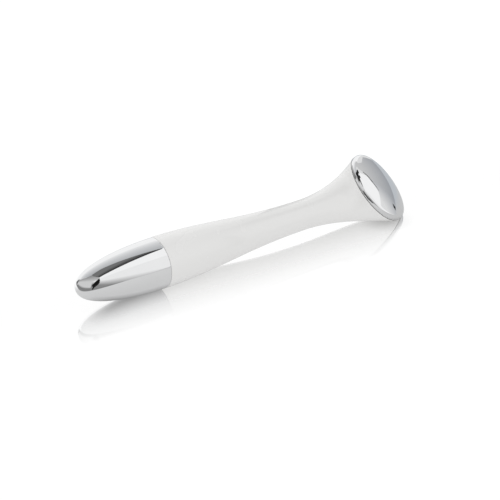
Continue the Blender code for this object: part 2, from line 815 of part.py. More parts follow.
def make_boost_coil():
    base = BOARD_TOP + SOLDER_GAP
    top = base + COIL_HEIGHT
    profile = [
        (0.0, top),
        (COIL_FLANGE_RADIUS, top),
        (COIL_FLANGE_RADIUS, top - COIL_FLANGE),
        (COIL_WAIST_RADIUS, top - COIL_FLANGE),
        (COIL_WAIST_RADIUS, base + COIL_FLANGE),
        (COIL_FLANGE_RADIUS, base + COIL_FLANGE),
        (COIL_FLANGE_RADIUS, base),
        (0.0, base),
    ]
    place_at = (BOARD_START + COIL_STATION, 0, 0)
    turned("boost_coil", profile, WAND, FERRITE, TINY_STEPS, place_at, along_x=False)


def make_capacitor():
    """Small can lying along the front of the board."""
    start = BOARD_START + CAPACITOR_STATION - CAPACITOR_LENGTH / 2
    height = BOARD_TOP + SOLDER_GAP + CAPACITOR_RADIUS
    profile = rod_profile(CAPACITOR_RADIUS, start, start + CAPACITOR_LENGTH)
    turned("capacitor", profile, WAND, STEEL, TINY_STEPS, location=(0, 0, height))


def make_neck_lead():
    """Wire from the neck ring, along the chassis slot, up to the underside of the board."""
    rail = [CHASSIS_START, CHASSIS_START + (CELL_END - CHASSIS_START) / 2, CELL_END]
    margin = SHELL_WALL + CLEARANCE + LEAD_RADIUS + SOLDER_GAP
    points = [(x, 0, margin - handle_radius(x)) for x in rail]
    rise_start = BAY_START + WIRE_SLOT_RUN / 3
    rise_end = BAY_START + WIRE_SLOT_RUN / 2
    points.append((rise_start, 0, -CHASSIS_BORE * 3 / 4))
    points.append((rise_end, 0, BOARD_FLOOR - CLEARANCE))
    wire("neck_lead", smooth_route(points, LEAD_STEP * 2), LEAD_RADIUS, WAND, BLUE_WIRE)


# Motor


def make_motor_can():
    bore = SHAFT_RADIUS + CLEARANCE
    profile = [
        (CAN_BOSS_RADIUS, CAN_END + CAN_BOSS_LENGTH),
        (CAN_BOSS_RADIUS, CAN_END),
        (CAN_RADIUS, CAN_END),
        (CAN_RADIUS, CAN_START),
        (CAN_RADIUS - CAN_WALL, CAN_START),
        (CAN_RADIUS - CAN_WALL, CAN_END - CAN_FRONT),
        (bore, CAN_END - CAN_FRONT),
        (bore, CAN_END + CAN_BOSS_LENGTH),
    ]
    turned("motor_can", profile, WAND, STEEL, ring=True)


def make_motor_end_cap():
    neck = CAN_RADIUS - CAN_WALL - CLEARANCE
    profile = [
        (0.0, PLUG_END),
        (neck, PLUG_END),
        (neck, PLUG_START + PLUG_FLANGE),
        (CAN_RADIUS, PLUG_START + PLUG_FLANGE),
        (CAN_RADIUS, PLUG_START),
        (0.0, PLUG_START),
    ]
    turned("motor_end_cap", profile, WAND, NATURAL_PLASTIC)


def rotor_cup_radii():
    outer = CAN_RADIUS - CAN_WALL - CLEARANCE
    return outer, outer - ROTOR_CUP_WALL


def make_motor_magnet():
    outer = rotor_cup_radii()[1] - CLEARANCE
    rear = SHAFT_START + ROTOR_CUP_WALL + 2 * CLEARANCE
    front = CAN_END - CAN_FRONT - CLEARANCE
    profile = tube_profile(outer, outer - MAGNET_WALL, rear, front)
    turned("motor_magnet", profile, WAND, FERRITE, ring=True)


def make_rotor_coil():
    """Thin wound cup that turns round the magnet, on the shaft by its floor."""
    outer, inner = rotor_cup_radii()
    rear = SHAFT_START + CLEARANCE
    front = CAN_END - CAN_FRONT - 2 * CLEARANCE
    hub = SHAFT_RADIUS + SOLDER_GAP
    profile = [
        (outer, front),
        (outer, rear),
        (hub, rear),
        (hub, rear + ROTOR_CUP_WALL),
        (inner, rear + ROTOR_CUP_WALL),
        (inner, front),
    ]
    turned("rotor_coil", profile, ROTOR_AXIS, COPPER, ring=True)


def make_motor_shaft():
    profile = rod_profile(SHAFT_RADIUS, SHAFT_START, SHAFT_END)
    turned("motor_shaft", profile, ROTOR_AXIS, STEEL, TINY_STEPS)


def make_eccentric_weight():
    """Half disc that hangs below the shaft, round a hub."""
    disc = rod_profile(WEIGHT_RADIUS, WEIGHT_START, WEIGHT_END)
    weight = turned("eccentric_weight", disc, ROTOR_AXIS, BRASS)
    low = (WEIGHT_START - CUT_OVERRUN, -CUT_OVERRUN, 0)
    high = (WEIGHT_END + CUT_OVERRUN, CUT_OVERRUN, CUT_OVERRUN)
    cut(weight, block("weight_half_cut", low, high, ROTOR_AXIS, None))
    join(weight, disc_cutter("weight_hub", WEIGHT_HUB_RADIUS, WEIGHT_START, WEIGHT_END, ROTOR_AXIS))
    ends = WEIGHT_START - CUT_OVERRUN, WEIGHT_END + CUT_OVERRUN
    cut(weight, disc_cutter("weight_bore_cut", SHAFT_RADIUS + SOLDER_GAP, *ends, ROTOR_AXIS))


def make_motor_sleeve():
    """Rubber sleeve that seats the motor in the waist, slotted below for the head's wire."""
    profile = tube_profile(SLEEVE_RADIUS, SLEEVE_BORE, SLEEVE_START, SLEEVE_END)
    sleeve = turned("motor_sleeve", profile, WAND, GREY_RUBBER, ring=True)
    half = SLEEVE_SLOT / 2
    low = (SLEEVE_START - CUT_OVERRUN, -half, -CUT_OVERRUN)
    high = (SLEEVE_END + CUT_OVERRUN, half, 0)
    cut(sleeve, block("sleeve_slot_cut", low, high, WAND, None))


def make_motor_leads():
    """Two short wires from the front edge of the board to the motor's end cap."""
    start = BOARD_END + CLEARANCE
    end = PLUG_START - CLEARANCE
    middle = (start + end) / 2
    for name, side, look in (("motor_lead_red", 1, RED_WIRE), ("motor_lead_black", -1, BLACK_RUBBER)):
        y = side * MOTOR_LEAD_SPACING / 2
        slack = (middle, y + side * MOTOR_LEAD_RADIUS, 3 * MOTOR_LEAD_RADIUS)
        points = smooth_route([(start, y, 0), slack, (end, y, 0)], LEAD_STEP / 2)
        wire(name, points, MOTOR_LEAD_RADIUS, WAND, look)


# Head


def dome_height(radius):
    """Height of the outside of the dome over the mouth, inside the rolled edge."""
    edge_radius, edge_height = rolled_edge(RIM_SWEEP)
    return edge_height + (DOME_TOP - edge_height) * (1 - (radius / edge_radius) ** 2)


def rolled_edge(sweep):
    """(radius, height) on the rolled edge, from 0 at the band to its full sweep at the dome."""
    radius = HEAD_RADIUS - RIM_FILLET * (1 - math.cos(sweep))
    return radius, RIM_BAND + RIM_FILLET * math.sin(sweep)


def screw_places():
    """Screw centres in the head's frame, the first at the low side of the mouth."""
    angles = [2 * math.pi * i / SCREW_COUNT for i in range(SCREW_COUNT)]
    return [(SCREW_CIRCLE * math.cos(a), SCREW_CIRCLE * math.sin(a), 0) for a in angles]


def make_head_plate():
    """Domed plate with a rolled edge, a skirt into the mouth and three bosses bored for screws."""
    edge_radius = rolled_edge(RIM_SWEEP)[0]
    skirt_inside = SKIRT_RADIUS - SKIRT_WALL
    crown = [edge_radius * i / DOME_RINGS for i in range(DOME_RINGS)]
    profile = [(radius, dome_height(radius)) for radius in crown]
    profile += [rolled_edge(RIM_SWEEP * (1 - i / FILLET_RINGS)) for i in range(FILLET_RINGS + 1)]
    profile += [
        (HEAD_RADIUS, CLEARANCE),
        (SKIRT_RADIUS, CLEARANCE),
        (SKIRT_RADIUS, -SKIRT_DEPTH),
        (skirt_inside, -SKIRT_DEPTH),
    ]
    for radius in spread(skirt_inside, 0, DOME_INSIDE_RINGS):
        profile.append((radius, dome_height(radius) - PLATE_WALL))
    plate = turned("head_plate", profile, HEAD, CHROME, ROUND_STEPS, along_x=False, twist=HALF_STEP)
    boss = [
        (0.0, BOSS_TOP),
        (BOSS_RADIUS, BOSS_TOP),
        (BOSS_RADIUS, -SKIRT_DEPTH),
        (PILOT_RADIUS, -SKIRT_DEPTH),
        (PILOT_RADIUS, PILOT_DEPTH),
        (0.0, PILOT_DEPTH),
    ]
    for i, spot in enumerate(screw_places()):
        join(plate, turned(f"boss_{i + 1}", boss, HEAD, None, SMALL_STEPS, spot, along_x=False))


def make_head_base():
    """Plastic disc inside the mouth, which the screws pull up to the bosses."""
    disc = rod_profile(BASE_RADIUS, BASE_BOTTOM, BASE_TOP)
    base = turned("head_base", disc, HEAD, NATURAL_PLASTIC, ROUND_STEPS, along_x=False, twist=HALF_STEP)
    for i, spot in enumerate(screw_places()):
        hole = (PILOT_RADIUS, -CUT_OVERRUN, CUT_OVERRUN, HEAD, spot)
        cut(base, disc_cutter(f"base_hole_cut_{i + 1}", *hole, along_x=False))


def make_head_gasket():
    profile = torus_profile(GASKET_MAJOR, GASKET_MINOR, -GASKET_MINOR)
    turned("head_gasket", profile, HEAD, BLACK_RUBBER, ROUND_STEPS, along_x=False, ring=True)


def make_head_terminal():
    """Ring terminal under the first screw, with a tab towards the middle of the mouth."""
    spot = Vector(screw_places()[0])
    disc = rod_profile(TERMINAL_RADIUS, TERMINAL_BOTTOM, TERMINAL_TOP)
    terminal = turned("head_terminal", disc, HEAD, BRASS, SMALL_STEPS, spot, along_x=False)
    half = TERMINAL_TAB_WIDTH / 2
    low = (spot.x - TERMINAL_TAB_REACH, -half, TERMINAL_BOTTOM)
    high = (spot.x - PILOT_RADIUS, half, TERMINAL_TOP)
    join(terminal, block("terminal_tab", low, high, HEAD, None))
    hole = (PILOT_RADIUS, -CUT_OVERRUN, CUT_OVERRUN, HEAD, spot)
    cut(terminal, disc_cutter("terminal_hole_cut", *hole, along_x=False))


def make_head_screws():
    """Pan-head screws from behind the base into the bosses of the plate."""
    tip = PILOT_DEPTH - SCREW_TIP_GAP
    for i, spot in enumerate(screw_places()):
        seat = (TERMINAL_BOTTOM if i == 0 else BASE_BOTTOM) - CLEARANCE
        profile = [
            (0.0, tip),
            (SCREW_RADIUS / 2, tip),
            (SCREW_RADIUS, tip - SCREW_RADIUS),
            (SCREW_RADIUS, seat),
            (SCREW_HEAD_RADIUS, seat),
            (SCREW_HEAD_RADIUS, seat - SCREW_HEAD_HEIGHT / 2),
            (SCREW_HEAD_RADIUS * 3 / 4, seat - SCREW_HEAD_HEIGHT),
            (0.0, seat - SCREW_HEAD_HEIGHT),
        ]
        turned(f"head_screw_{i + 1}", profile, HEAD, STEEL, TINY_STEPS, spot, along_x=False)


def head_to_wand(across, out):
    """A point of the head's middle plane, from the head's frame to (station, height)."""
    station = HEAD_STATION + across * math.sin(HEAD_TILT) + out * math.cos(HEAD_TILT)
    return station, HEAD_RISE - across * math.cos(HEAD_TILT) + out * math.sin(HEAD_TILT)


def make_head_lead():
    """Wire from the board, past the motor in the sleeve's slot, to the tab of the terminal."""
    rail = -(CAN_RADIUS + CLEARANCE + LEAD_RADIUS + SOLDER_GAP)
    tab_end = SCREW_CIRCLE - TERMINAL_TAB_REACH
    joint = TERMINAL_BOTTOM - CLEARANCE - LEAD_RADIUS
    end_x, end_z = head_to_wand(tab_end + TERMINAL_TAB_WIDTH / 2, joint)
    back_x, back_z = head_to_wand(tab_end - TERMINAL_TAB_WIDTH / 2, joint - 2 * LEAD_RADIUS)
    first = BOARD_END + CLEARANCE
    points = [
        (first, 0, (BOARD_FLOOR + BOARD_TOP) / 2),
        (first + LEAD_STEP, 0, rail / 5),
        (first + 2 * LEAD_STEP, 0, rail * 3 / 4),
        (PLUG_START, 0, rail),
        (CAN_START, 0, rail),
        (CAN_END, 0, rail),
        ((CAN_END + back_x) / 2, 0, rail - LEAD_RADIUS),
        (back_x, 0, back_z),
        (end_x, 0, end_z),
    ]
    wire("head_lead", smooth_route(points, LEAD_STEP * 2), LEAD_RADIUS, WAND, BLUE_WIRE)


# Rest position


def resting_roll():
    """Roll at which the rim of the mouth touches the ground with the handle's axis level."""
    lean = math.cos(HEAD_TILT)
    a = HEAD_RADIUS**2 * (lean**2 - 1) - HEAD_RISE**2
    b = -2 * BODY_RADIUS * HEAD_RISE
    c = HEAD_RADIUS**2 - BODY_RADIUS**2
    return math.acos((-b - math.sqrt(b**2 - 4 * a * c)) / (2 * a))


def head_reach(direction):
    """How far the rolled edge of the head reaches along a direction of the wand's frame."""
    facing = Vector((math.cos(HEAD_TILT), 0, math.sin(HEAD_TILT)))
    out = facing.dot(direction)
    centre = Vector((HEAD_STATION, 0, HEAD_RISE)).dot(direction) + RIM_BAND * out
    return centre + (HEAD_RADIUS - RIM_FILLET) * math.sqrt(1 - out**2) + RIM_FILLET


def wand_origin(roll):
    """Where the tip of the cap lies when the middle of the whole is at X = Y = 0."""
    across = Vector((0, math.cos(roll), -math.sin(roll)))
    left, right = head_reach(-across), head_reach(across)
    length = head_reach(Vector((1, 0, 0)))
    return (-length / 2, (left - right) / 2, BODY_RADIUS)


clear_scene()
PARTS = new_collection("skin_treatment_wand")
CUTTERS = new_collection("cutters")
ROLL = resting_roll()
WAND = new_frame("wand_frame", location=wand_origin(ROLL), rotation=(ROLL, 0, 0))
SPRING_FRAME = new_frame("spring_frame", WAND)
CAP_AXIS = new_frame("cap_axis", WAND)
ROTOR_AXIS = new_frame("rotor_axis", WAND, rotation=(-ROLL, 0, 0))
HEAD = new_frame("head_frame", WAND, (HEAD_STATION, 0, HEAD_RISE), (0, math.pi / 2 - HEAD_TILT, 0))

make_handle_shell()
make_neck_ring()
make_cap_o_ring()
make_tip_cap()
make_cap_insert()
make_plate_rivet()
make_spring_plate()
make_battery_spring()
make_battery_cell()
make_positive_contact()
make_chassis()
make_circuit_board()
make_chip("control_chip", CHIP_SIZE, CHIP_STATION, 0)
make_chip("switch_transistor", TRANSISTOR_SIZE, TRANSISTOR_STATION, TRANSISTOR_OFFSET)
make_boost_coil()
make_capacitor()
make_neck_lead()
make_motor_can()
make_motor_end_cap()
make_motor_magnet()
make_rotor_coil()
make_motor_shaft()
make_eccentric_weight()
make_motor_sleeve()
make_motor_leads()
make_head_plate()
make_head_base()
make_head_gasket()
make_head_terminal()
make_head_screws()
make_head_lead()
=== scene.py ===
import json
import math

import bmesh
import bpy
import numpy as np
from mathutils import Matrix, Vector


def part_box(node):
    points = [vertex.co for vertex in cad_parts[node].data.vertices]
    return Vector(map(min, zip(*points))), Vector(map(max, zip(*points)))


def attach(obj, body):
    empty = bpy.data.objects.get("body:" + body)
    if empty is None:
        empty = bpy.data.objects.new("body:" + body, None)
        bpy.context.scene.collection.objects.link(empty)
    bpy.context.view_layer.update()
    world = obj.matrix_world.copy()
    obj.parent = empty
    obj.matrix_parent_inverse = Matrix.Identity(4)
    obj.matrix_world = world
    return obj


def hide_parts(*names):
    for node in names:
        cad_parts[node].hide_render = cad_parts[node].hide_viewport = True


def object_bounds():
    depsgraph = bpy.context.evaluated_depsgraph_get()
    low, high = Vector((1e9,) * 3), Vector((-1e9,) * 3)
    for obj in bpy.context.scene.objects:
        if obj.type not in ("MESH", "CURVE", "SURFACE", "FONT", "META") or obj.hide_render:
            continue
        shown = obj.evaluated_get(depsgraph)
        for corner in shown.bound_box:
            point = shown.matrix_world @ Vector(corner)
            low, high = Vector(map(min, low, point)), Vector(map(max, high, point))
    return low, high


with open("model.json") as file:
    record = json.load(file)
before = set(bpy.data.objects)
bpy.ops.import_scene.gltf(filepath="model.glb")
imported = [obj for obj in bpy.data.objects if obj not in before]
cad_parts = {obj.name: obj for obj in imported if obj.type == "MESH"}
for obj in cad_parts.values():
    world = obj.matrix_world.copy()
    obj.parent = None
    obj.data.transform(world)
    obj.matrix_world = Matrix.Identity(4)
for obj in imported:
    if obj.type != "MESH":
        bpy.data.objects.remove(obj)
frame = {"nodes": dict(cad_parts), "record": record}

CAD_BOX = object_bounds()

MM = 0.001

# Fineness: columns round a form, rings along it, and the angle from which an edge stays sharp
COLUMNS = 144
FINE_COLUMNS = 192
POST_COLUMNS = 48
SEAL_SIDES = 24
EDGE_RINGS = 6
LIP_RINGS = 7
HANDLE_RINGS = 50
HANDLE_INSIDE_RINGS = 24
TRUMPET_RINGS = 56
TRUMPET_INSIDE_RINGS = 30
CAP_RINGS = 70
CAP_INSIDE_RINGS = 30
CROWN_RINGS = 60
CROWN_INSIDE_RINGS = 24
ROLLED_RINGS = 30
NECK_THREAD_RINGS = 60
LINING_RINGS = 24
LINING_THREAD_RINGS = 70
SPRING_STEPS_PER_TURN = 48
SPRING_SIDES = 14
SHARP = 35
SHELL_SHARP = 50

# The wand's frame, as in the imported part, rolled until the head's rim rests on the floor
ROLL = math.radians(38.4466)
CAP_TIP = Vector((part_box("tip_cap")[0].x, 0.001634, 0.010))
WAND = Matrix.Translation(CAP_TIP) @ Matrix.Rotation(ROLL, 4, "X")
TILT = math.radians(59.0)
HEAD_CENTRE = Vector((139.3, 0.0, 1.9)) * MM
HEAD = WAND @ Matrix.Translation(HEAD_CENTRE) @ Matrix.Rotation(math.pi / 2 - TILT, 4, "Y")

# Cap and handle, in millimetres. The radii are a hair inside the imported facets.
BODY = 9.99
CAP_LENGTH = 35.0
CAP_WALL = 1.2
NOSE_POWER = 2.0
FLANK_POWER = 2.42
SEAM = 0.3
CAP_SEAM = 0.12
EDGE_BREAK = 0.1
WAIST_STATION = 102.4
WAIST = 6.0
SHOULDER_RUN = 25.9
WAIST_RUN = 29.9
SHELL_WALL = 1.4

# Trumpet and head plate, in millimetres
MOUTH = 15.43
MOUTH_LAND = 1.5
FRONT_NECK_RUN = 13.4
FRONT_MOUTH_RUN = 6.1
BACK_NECK_RUN = 17.0
BACK_MOUTH_RUN = 13.6
BACK_MOUTH_ANGLE = math.radians(10.0)
SIDE_MOUTH_SPREAD = 4.2
RIM_BAND = 0.85
RIM_FILLET = 1.6
RIM_SWEEP = math.radians(73.5)
DOME_TOP = 4.43
PLATE_WALL = 1.0
SKIRT = 12.4
SKIRT_WALL = 0.8
SKIRT_DEPTH = 0.9
SKIRT_SOFTNESS = 0.12
BOSS = 2.0
BOSS_TOP = 3.5
BOSS_SOFTNESS = 0.15
PILOT = 1.1
PILOT_DEPTH = 1.8
SCREW_CIRCLE = 6.0
SCREW_COUNT = 3

# Thread, seals and spring, in millimetres
PITCH = 2.0
THREAD_DEPTH = 0.7
THREAD_ROOT = 6.4
THREAD_FADE = 0.8
CHAMFER = 0.15
NECK_START = 26.2
THREAD_START = 26.6
THREAD_END = 32.2
GROOVE_START = 32.8
GROOVE_END = 34.5
GROOVE = 6.2
COLLAR = 7.5
COLLAR_END = 35.6
NECK_END = 44.0
NECK_BORE = 5.55
NECK_SOFTNESS = 0.06
INSERT_START = 11.5
INSERT_FLOOR = 13.0
INSERT_END = 34.7
INSERT_INSET = 1.5
INSERT_ROOT = 7.4
INSERT_BORE = 5.8
FLOOR_CHAMFER = 0.2
SEAL_BORE = 7.9
INSERT_THREAD_START = 25.6
INSERT_THREAD_END = 32.4
RIVET_HOLE = 1.3
SEAL_STATION = 33.65
SEAL_MAJOR = 7.05
SEAL_MINOR = 0.55
GASKET_MAJOR = 13.0
GASKET_MINOR = 0.3
SPRING = 4.05
SPRING_WIRE = 0.35
SPRING_START = 14.45
SPRING_END = 20.85
SPRING_TURNS = 5

# Camera, whose aim and angles come from the fit to the photograph
AZIMUTH = math.radians(-35.41)
ELEVATION = math.radians(28.40)
AIM = Vector((0.003284, 0.004764, 0.0))
DISTANCE = 0.70
LENS = 128.7
SENSOR = 36.0
CLIP = (0.05, 20.0)

# Studio, in metres and in levels of light
ROOM_LIGHT = 0.84
SHEET_HALF = 6.0
SHEET_DROP = 0.00005
SHEET_MATTE = 0.26
SHEET_LIGHT = 0.62
SHEET_SEEN = 0.80
SHEET_MIRRORED = 0.46
# Centre of the painted shade on the sheet under the head
HEAD_CONTACT = (0.064, -0.005, 0.0)
CEILING = 1.5
CEILING_STEP = 0.01
SCREEN = 0.165
SCREEN_STEP = 0.001

# Places near the metal that mirrors the cards
UNDER_CAP = Vector((-0.060, 0.0, 0.0))
AT_CAP = Vector((-0.060, 0.0, 0.012))
UNDER_TIP = Vector((-0.072, -0.004, 0.0))
UNDER_HEAD = Vector((0.066, -0.002, 0.0))


# Geometry helpers


def bezier(start, leave, arrive, end, t):
    """Point of a cubic curve, from 0 at its start to 1 at its end."""
    return (1 - t) ** 3 * start + 3 * (1 - t) ** 2 * t * leave + 3 * (1 - t) * t**2 * arrive + t**3 * end


def to_object(name, verts, faces, matrix, sharp=SHARP):
    """Smooth mesh object from points in millimetres of a local frame."""
    mesh = bpy.data.meshes.new(name)
    mesh.from_pydata([tuple(matrix @ (Vector(v) * MM)) for v in verts], [], faces)
    shape = bmesh.new()
    shape.from_mesh(mesh)
    bmesh.ops.recalc_face_normals(shape, faces=shape.faces)
    shape.to_mesh(mesh)
    shape.free()
    mesh.shade_smooth()
    mesh.set_sharp_from_angle(angle=math.radians(sharp))
    item = bpy.data.objects.new(name, mesh)
    bpy.context.scene.collection.objects.link(item)
    return item


def skin(name, rings, matrix, sharp=SHARP):
    """Closed skin through rings of equal count, the last joined to the first."""
    columns = len(rings[0])
    faces = []
    for i in range(len(rings)):
        a = i * columns
        b = (i + 1) % len(rings) * columns
        for j in range(columns):
            k = (j + 1) % columns
            faces.append((a + j, a + k, b + k, b + j))
    return to_object(name, [point for ring in rings for point in ring], faces, matrix, sharp)


def turned(name, profile, matrix, along_x=True, columns=COLUMNS, closed=False):
    """Turned piece from (radius, height) points. An open profile begins and ends on the axis."""
    verts, rows, faces = [], [], []
    for radius, height in profile:
        if radius < 1e-6:
            rows.append([len(verts)] * columns)
            verts.append((height, 0, 0) if along_x else (0, 0, height))
            continue
        rows.append(list(range(len(verts), len(verts) + columns)))
        for i in range(columns):
            angle = 2 * math.pi * i / columns
            c = radius * math.cos(angle)
            s = radius * math.sin(angle)
            verts.append((height, c, s) if along_x else (c, s, height))
    pairs = list(zip(rows, rows[1:]))
    if closed:
        pairs.append((rows[-1], rows[0]))
    for one, two in pairs:
        for j in range(columns):
            k = (j + 1) % columns
            corners = list(dict.fromkeys((one[j], one[k], two[k], two[j])))
            if len(corners) > 2:
                faces.append(corners)
    return to_object(name, verts, faces, matrix)


def softened(points, radius, steps=4):
    """Profile whose inner corners are short curves, no longer than 0.4 of the sides beside them."""
    out = [points[0]]
    for before, corner, after in zip(points, points[1:], points[2:]):
        a, b, c = (np.array(p, float) for p in (before, corner, after))
        cut = min(radius, 0.4 * np.linalg.norm(a - b), 0.4 * np.linalg.norm(c - b))
        start = b + (a - b) / np.linalg.norm(a - b) * cut
        end = b + (c - b) / np.linalg.norm(c - b) * cut
        for t in np.linspace(0, 1, steps):
            out.append(tuple((1 - t) ** 2 * start + 2 * (1 - t) * t * b + t**2 * end))
    return out + [points[-1]]


def quarter(count):
    """Angles of a quarter turn, with both ends."""
    return np.linspace(0, math.pi / 2, count)


def ring_profile(major, minor, height):
    """Round section of a seal, as (radius, height) points."""
    angles = [2 * math.pi * i / SEAL_SIDES for i in range(SEAL_SIDES)]
    return [(major + minor * math.cos(a), height + minor * math.sin(a)) for a in angles]


# Forms that several pieces follow


def cap_radius(inset, station):
    """Radius of the bullet at a station from its tip, a wall's thickness inside its outside."""
    depth = min(1.0, max(0.0, (station - inset) / (CAP_LENGTH - inset)))
    return (BODY - inset) * (1 - (1 - depth) ** NOSE_POWER) ** (1 / FLANK_POWER)


def handle_point(t):
    """(station, radius) on the outside of the round part of the handle."""
    start = CAP_LENGTH + CAP_SEAM
    return bezier(
        np.array((start, BODY)),
        np.array((start + SHOULDER_RUN, BODY)),
        np.array((WAIST_STATION - WAIST_RUN, WAIST)),
        np.array((WAIST_STATION, WAIST)),
        t,
    )


def trumpet_section(t, neck_inset, mouth_inset):
    """Centre, half height and half width of the trumpet's section, from 0 at the waist to 1."""
    neck = WAIST - neck_inset
    mouth = MOUTH - mouth_inset
    centre = np.array((HEAD_CENTRE.x, HEAD_CENTRE.z)) / MM
    facing = np.array((math.cos(TILT), math.sin(TILT)))
    upward = np.array((-math.sin(TILT), math.cos(TILT)))
    trailing = np.array((math.cos(BACK_MOUTH_ANGLE), math.sin(BACK_MOUTH_ANGLE)))
    top = centre + mouth * upward
    bottom = centre - mouth * upward
    front = bezier(
        np.array((WAIST_STATION, neck)),
        np.array((WAIST_STATION + FRONT_NECK_RUN, neck)),
        top - FRONT_MOUTH_RUN * facing,
        top,
        t,
    )
    back = bezier(
        np.array((WAIST_STATION, -neck)),
        np.array((WAIST_STATION + BACK_NECK_RUN, -neck)),
        bottom - BACK_MOUTH_RUN * trailing,
        bottom,
        t,
    )
    side = bezier(neck, neck, mouth - SIDE_MOUTH_SPREAD, mouth, t)
    return (front + back) / 2, (front - back) / 2, side


def section_ring(centre, half_height, half_width):
    """Oval ring from a centre and half height in the plane of symmetry, and a half width across."""
    ring = []
    for i in range(COLUMNS):
        angle = 2 * math.pi * i / COLUMNS
        flat = centre + half_height * math.cos(angle)
        ring.append((flat[0], half_width * math.sin(angle), flat[1]))
    return ring


def round_ring(station, radius):
    """Round ring of the handle, whose points start where an oval ring's start."""
    return section_ring(np.array((station, 0.0)), np.array((0.0, radius)), radius)


def ridged_ring(station, radius_at):
    """Ring whose radius changes with the angle about X, for a thread."""
    ring = []
    for i in range(COLUMNS):
        angle = 2 * math.pi * i / COLUMNS
        radius = radius_at(angle)
        ring.append((station, radius * math.cos(angle), radius * math.sin(angle)))
    return ring


def plain_ring(station, radius):
    """Round ring whose points start where a ridged ring's start."""
    return ridged_ring(station, lambda angle: radius)


def thread_wave(station, angle):
    """Height of the rounded thread, from 0 in its root to 1 on its crest."""
    return (1 + math.cos(2 * math.pi * station / PITCH - angle)) / 2


def thread_rise(station, start, end):
    """Share of its depth that a thread has near its ends, where it fades out."""
    return min(1.0, max(0.0, min(station - start, end - station) / THREAD_FADE))


def dome_height(radius):
    """Height of the dome over the mouth, inside the rolled edge."""
    edge_radius, edge_height = rolled_edge(RIM_SWEEP)
    return edge_height + (DOME_TOP - edge_height) * (1 - (radius / edge_radius) ** 2)


def rolled_edge(sweep):
    """(radius, height) on the rolled edge, from 0 at the band to its full sweep at the dome."""
    return MOUTH - RIM_FILLET * (1 - math.cos(sweep)), RIM_BAND + RIM_FILLET * math.sin(sweep)


def screw_places():
    """Centres of the screws, evenly round the head's axis."""
    angles = [2 * math.pi * i / SCREW_COUNT for i in range(SCREW_COUNT)]
    return [Vector((SCREW_CIRCLE * math.cos(a), SCREW_CIRCLE * math.sin(a), 0)) * MM for a in angles]


# Pieces


def make_handle_skin():
    """The white trumpet, outside and inside, with a fine edge at the cap and a land at the mouth."""
    start = CAP_LENGTH + CAP_SEAM
    rings = []
    for a in quarter(EDGE_RINGS):
        station = start + EDGE_BREAK * (1 - math.cos(a))
        rings.append(round_ring(station, BODY - EDGE_BREAK * (1 - math.sin(a))))
    for t in np.linspace(0, 1, HANDLE_RINGS)[1:]:
        rings.append(round_ring(*handle_point(t)))
    for t in np.linspace(0, 1, TRUMPET_RINGS)[1:]:
        rings.append(section_ring(*trumpet_section(t, 0, 0)))
    for t in np.linspace(1, 0, TRUMPET_INSIDE_RINGS):
        rings.append(section_ring(*trumpet_section(t, SHELL_WALL, MOUTH_LAND)))
    for t in np.linspace(1, 0, HANDLE_INSIDE_RINGS)[1:]:
        station, radius = handle_point(t)
        rings.append(round_ring(station, radius - SHELL_WALL))
    return skin("handle_skin", rings, WAND, sharp=SHELL_SHARP)


def make_cap_skin():
    """The bullet, with a fine rolled lip at its mouth and a hollow inside."""
    lip = []
    for a in quarter(LIP_RINGS):
        station = CAP_LENGTH - EDGE_BREAK * (1 - math.cos(a))
        lip.append((BODY - EDGE_BREAK * (1 - math.sin(a)), station))
    shares = [i / CAP_INSIDE_RINGS for i in range(CAP_INSIDE_RINGS + 1)]
    inside = [CAP_WALL + (CAP_LENGTH - CAP_WALL) * share**2 for share in shares]
    outside = [CAP_LENGTH * (i / CAP_RINGS) ** 2 for i in range(CAP_RINGS - 1, -1, -1)]
    profile = [(cap_radius(CAP_WALL, x), x) for x in inside] + lip
    profile += [(cap_radius(0, x), x) for x in outside]
    return turned("cap_skin", profile, WAND, columns=FINE_COLUMNS)


def make_head_skin():
    """The domed plate with its rolled edge, the band above the seam and the skirt in the mouth."""
    edge_radius = rolled_edge(RIM_SWEEP)[0]
    inner = SKIRT - SKIRT_WALL
    radii = [edge_radius * i / CROWN_RINGS for i in range(CROWN_RINGS)]
    crown = [(r, dome_height(r)) for r in radii]
    edge = [rolled_edge(a) for a in np.linspace(RIM_SWEEP, 0, ROLLED_RINGS)]
    foot = [
        (MOUTH, RIM_BAND),
        (MOUTH, SEAM),
        (SKIRT, SEAM),
        (SKIRT, -SKIRT_DEPTH),
        (inner, -SKIRT_DEPTH),
        (inner, 0.0),
    ]
    inside = [(r, dome_height(r) - PLATE_WALL) for r in np.linspace(inner, 0, CROWN_INSIDE_RINGS)]
    profile = crown + edge + softened(foot, SKIRT_SOFTNESS)[1:-1] + inside
    return turned("head_skin", profile, HEAD, along_x=False, columns=FINE_COLUMNS)


def make_boss(index, spot):
    """Bored post for a screw on the back of the plate."""
    post = [
        (0.0, BOSS_TOP),
        (BOSS, BOSS_TOP),
        (BOSS, -SKIRT_DEPTH),
        (PILOT, -SKIRT_DEPTH),
        (PILOT, PILOT_DEPTH),
        (0.0, PILOT_DEPTH),
    ]
    profile = softened(post, BOSS_SOFTNESS)
    place = HEAD @ Matrix.Translation(spot)
    return turned(f"head_boss_{index}", profile, place, along_x=False, columns=POST_COLUMNS)


def make_gasket():
    """Rubber ring between the white mouth and the plate."""
    profile = ring_profile(GASKET_MAJOR, GASKET_MINOR, -GASKET_MINOR)
    return turned("gasket_ring", profile, HEAD, along_x=False, closed=True)


def make_seal():
    """Rubber ring in the groove of the neck ring."""
    profile = ring_profile(SEAL_MAJOR, SEAL_MINOR, SEAL_STATION)
    return turned("seal_ring", profile, WAND, closed=True)


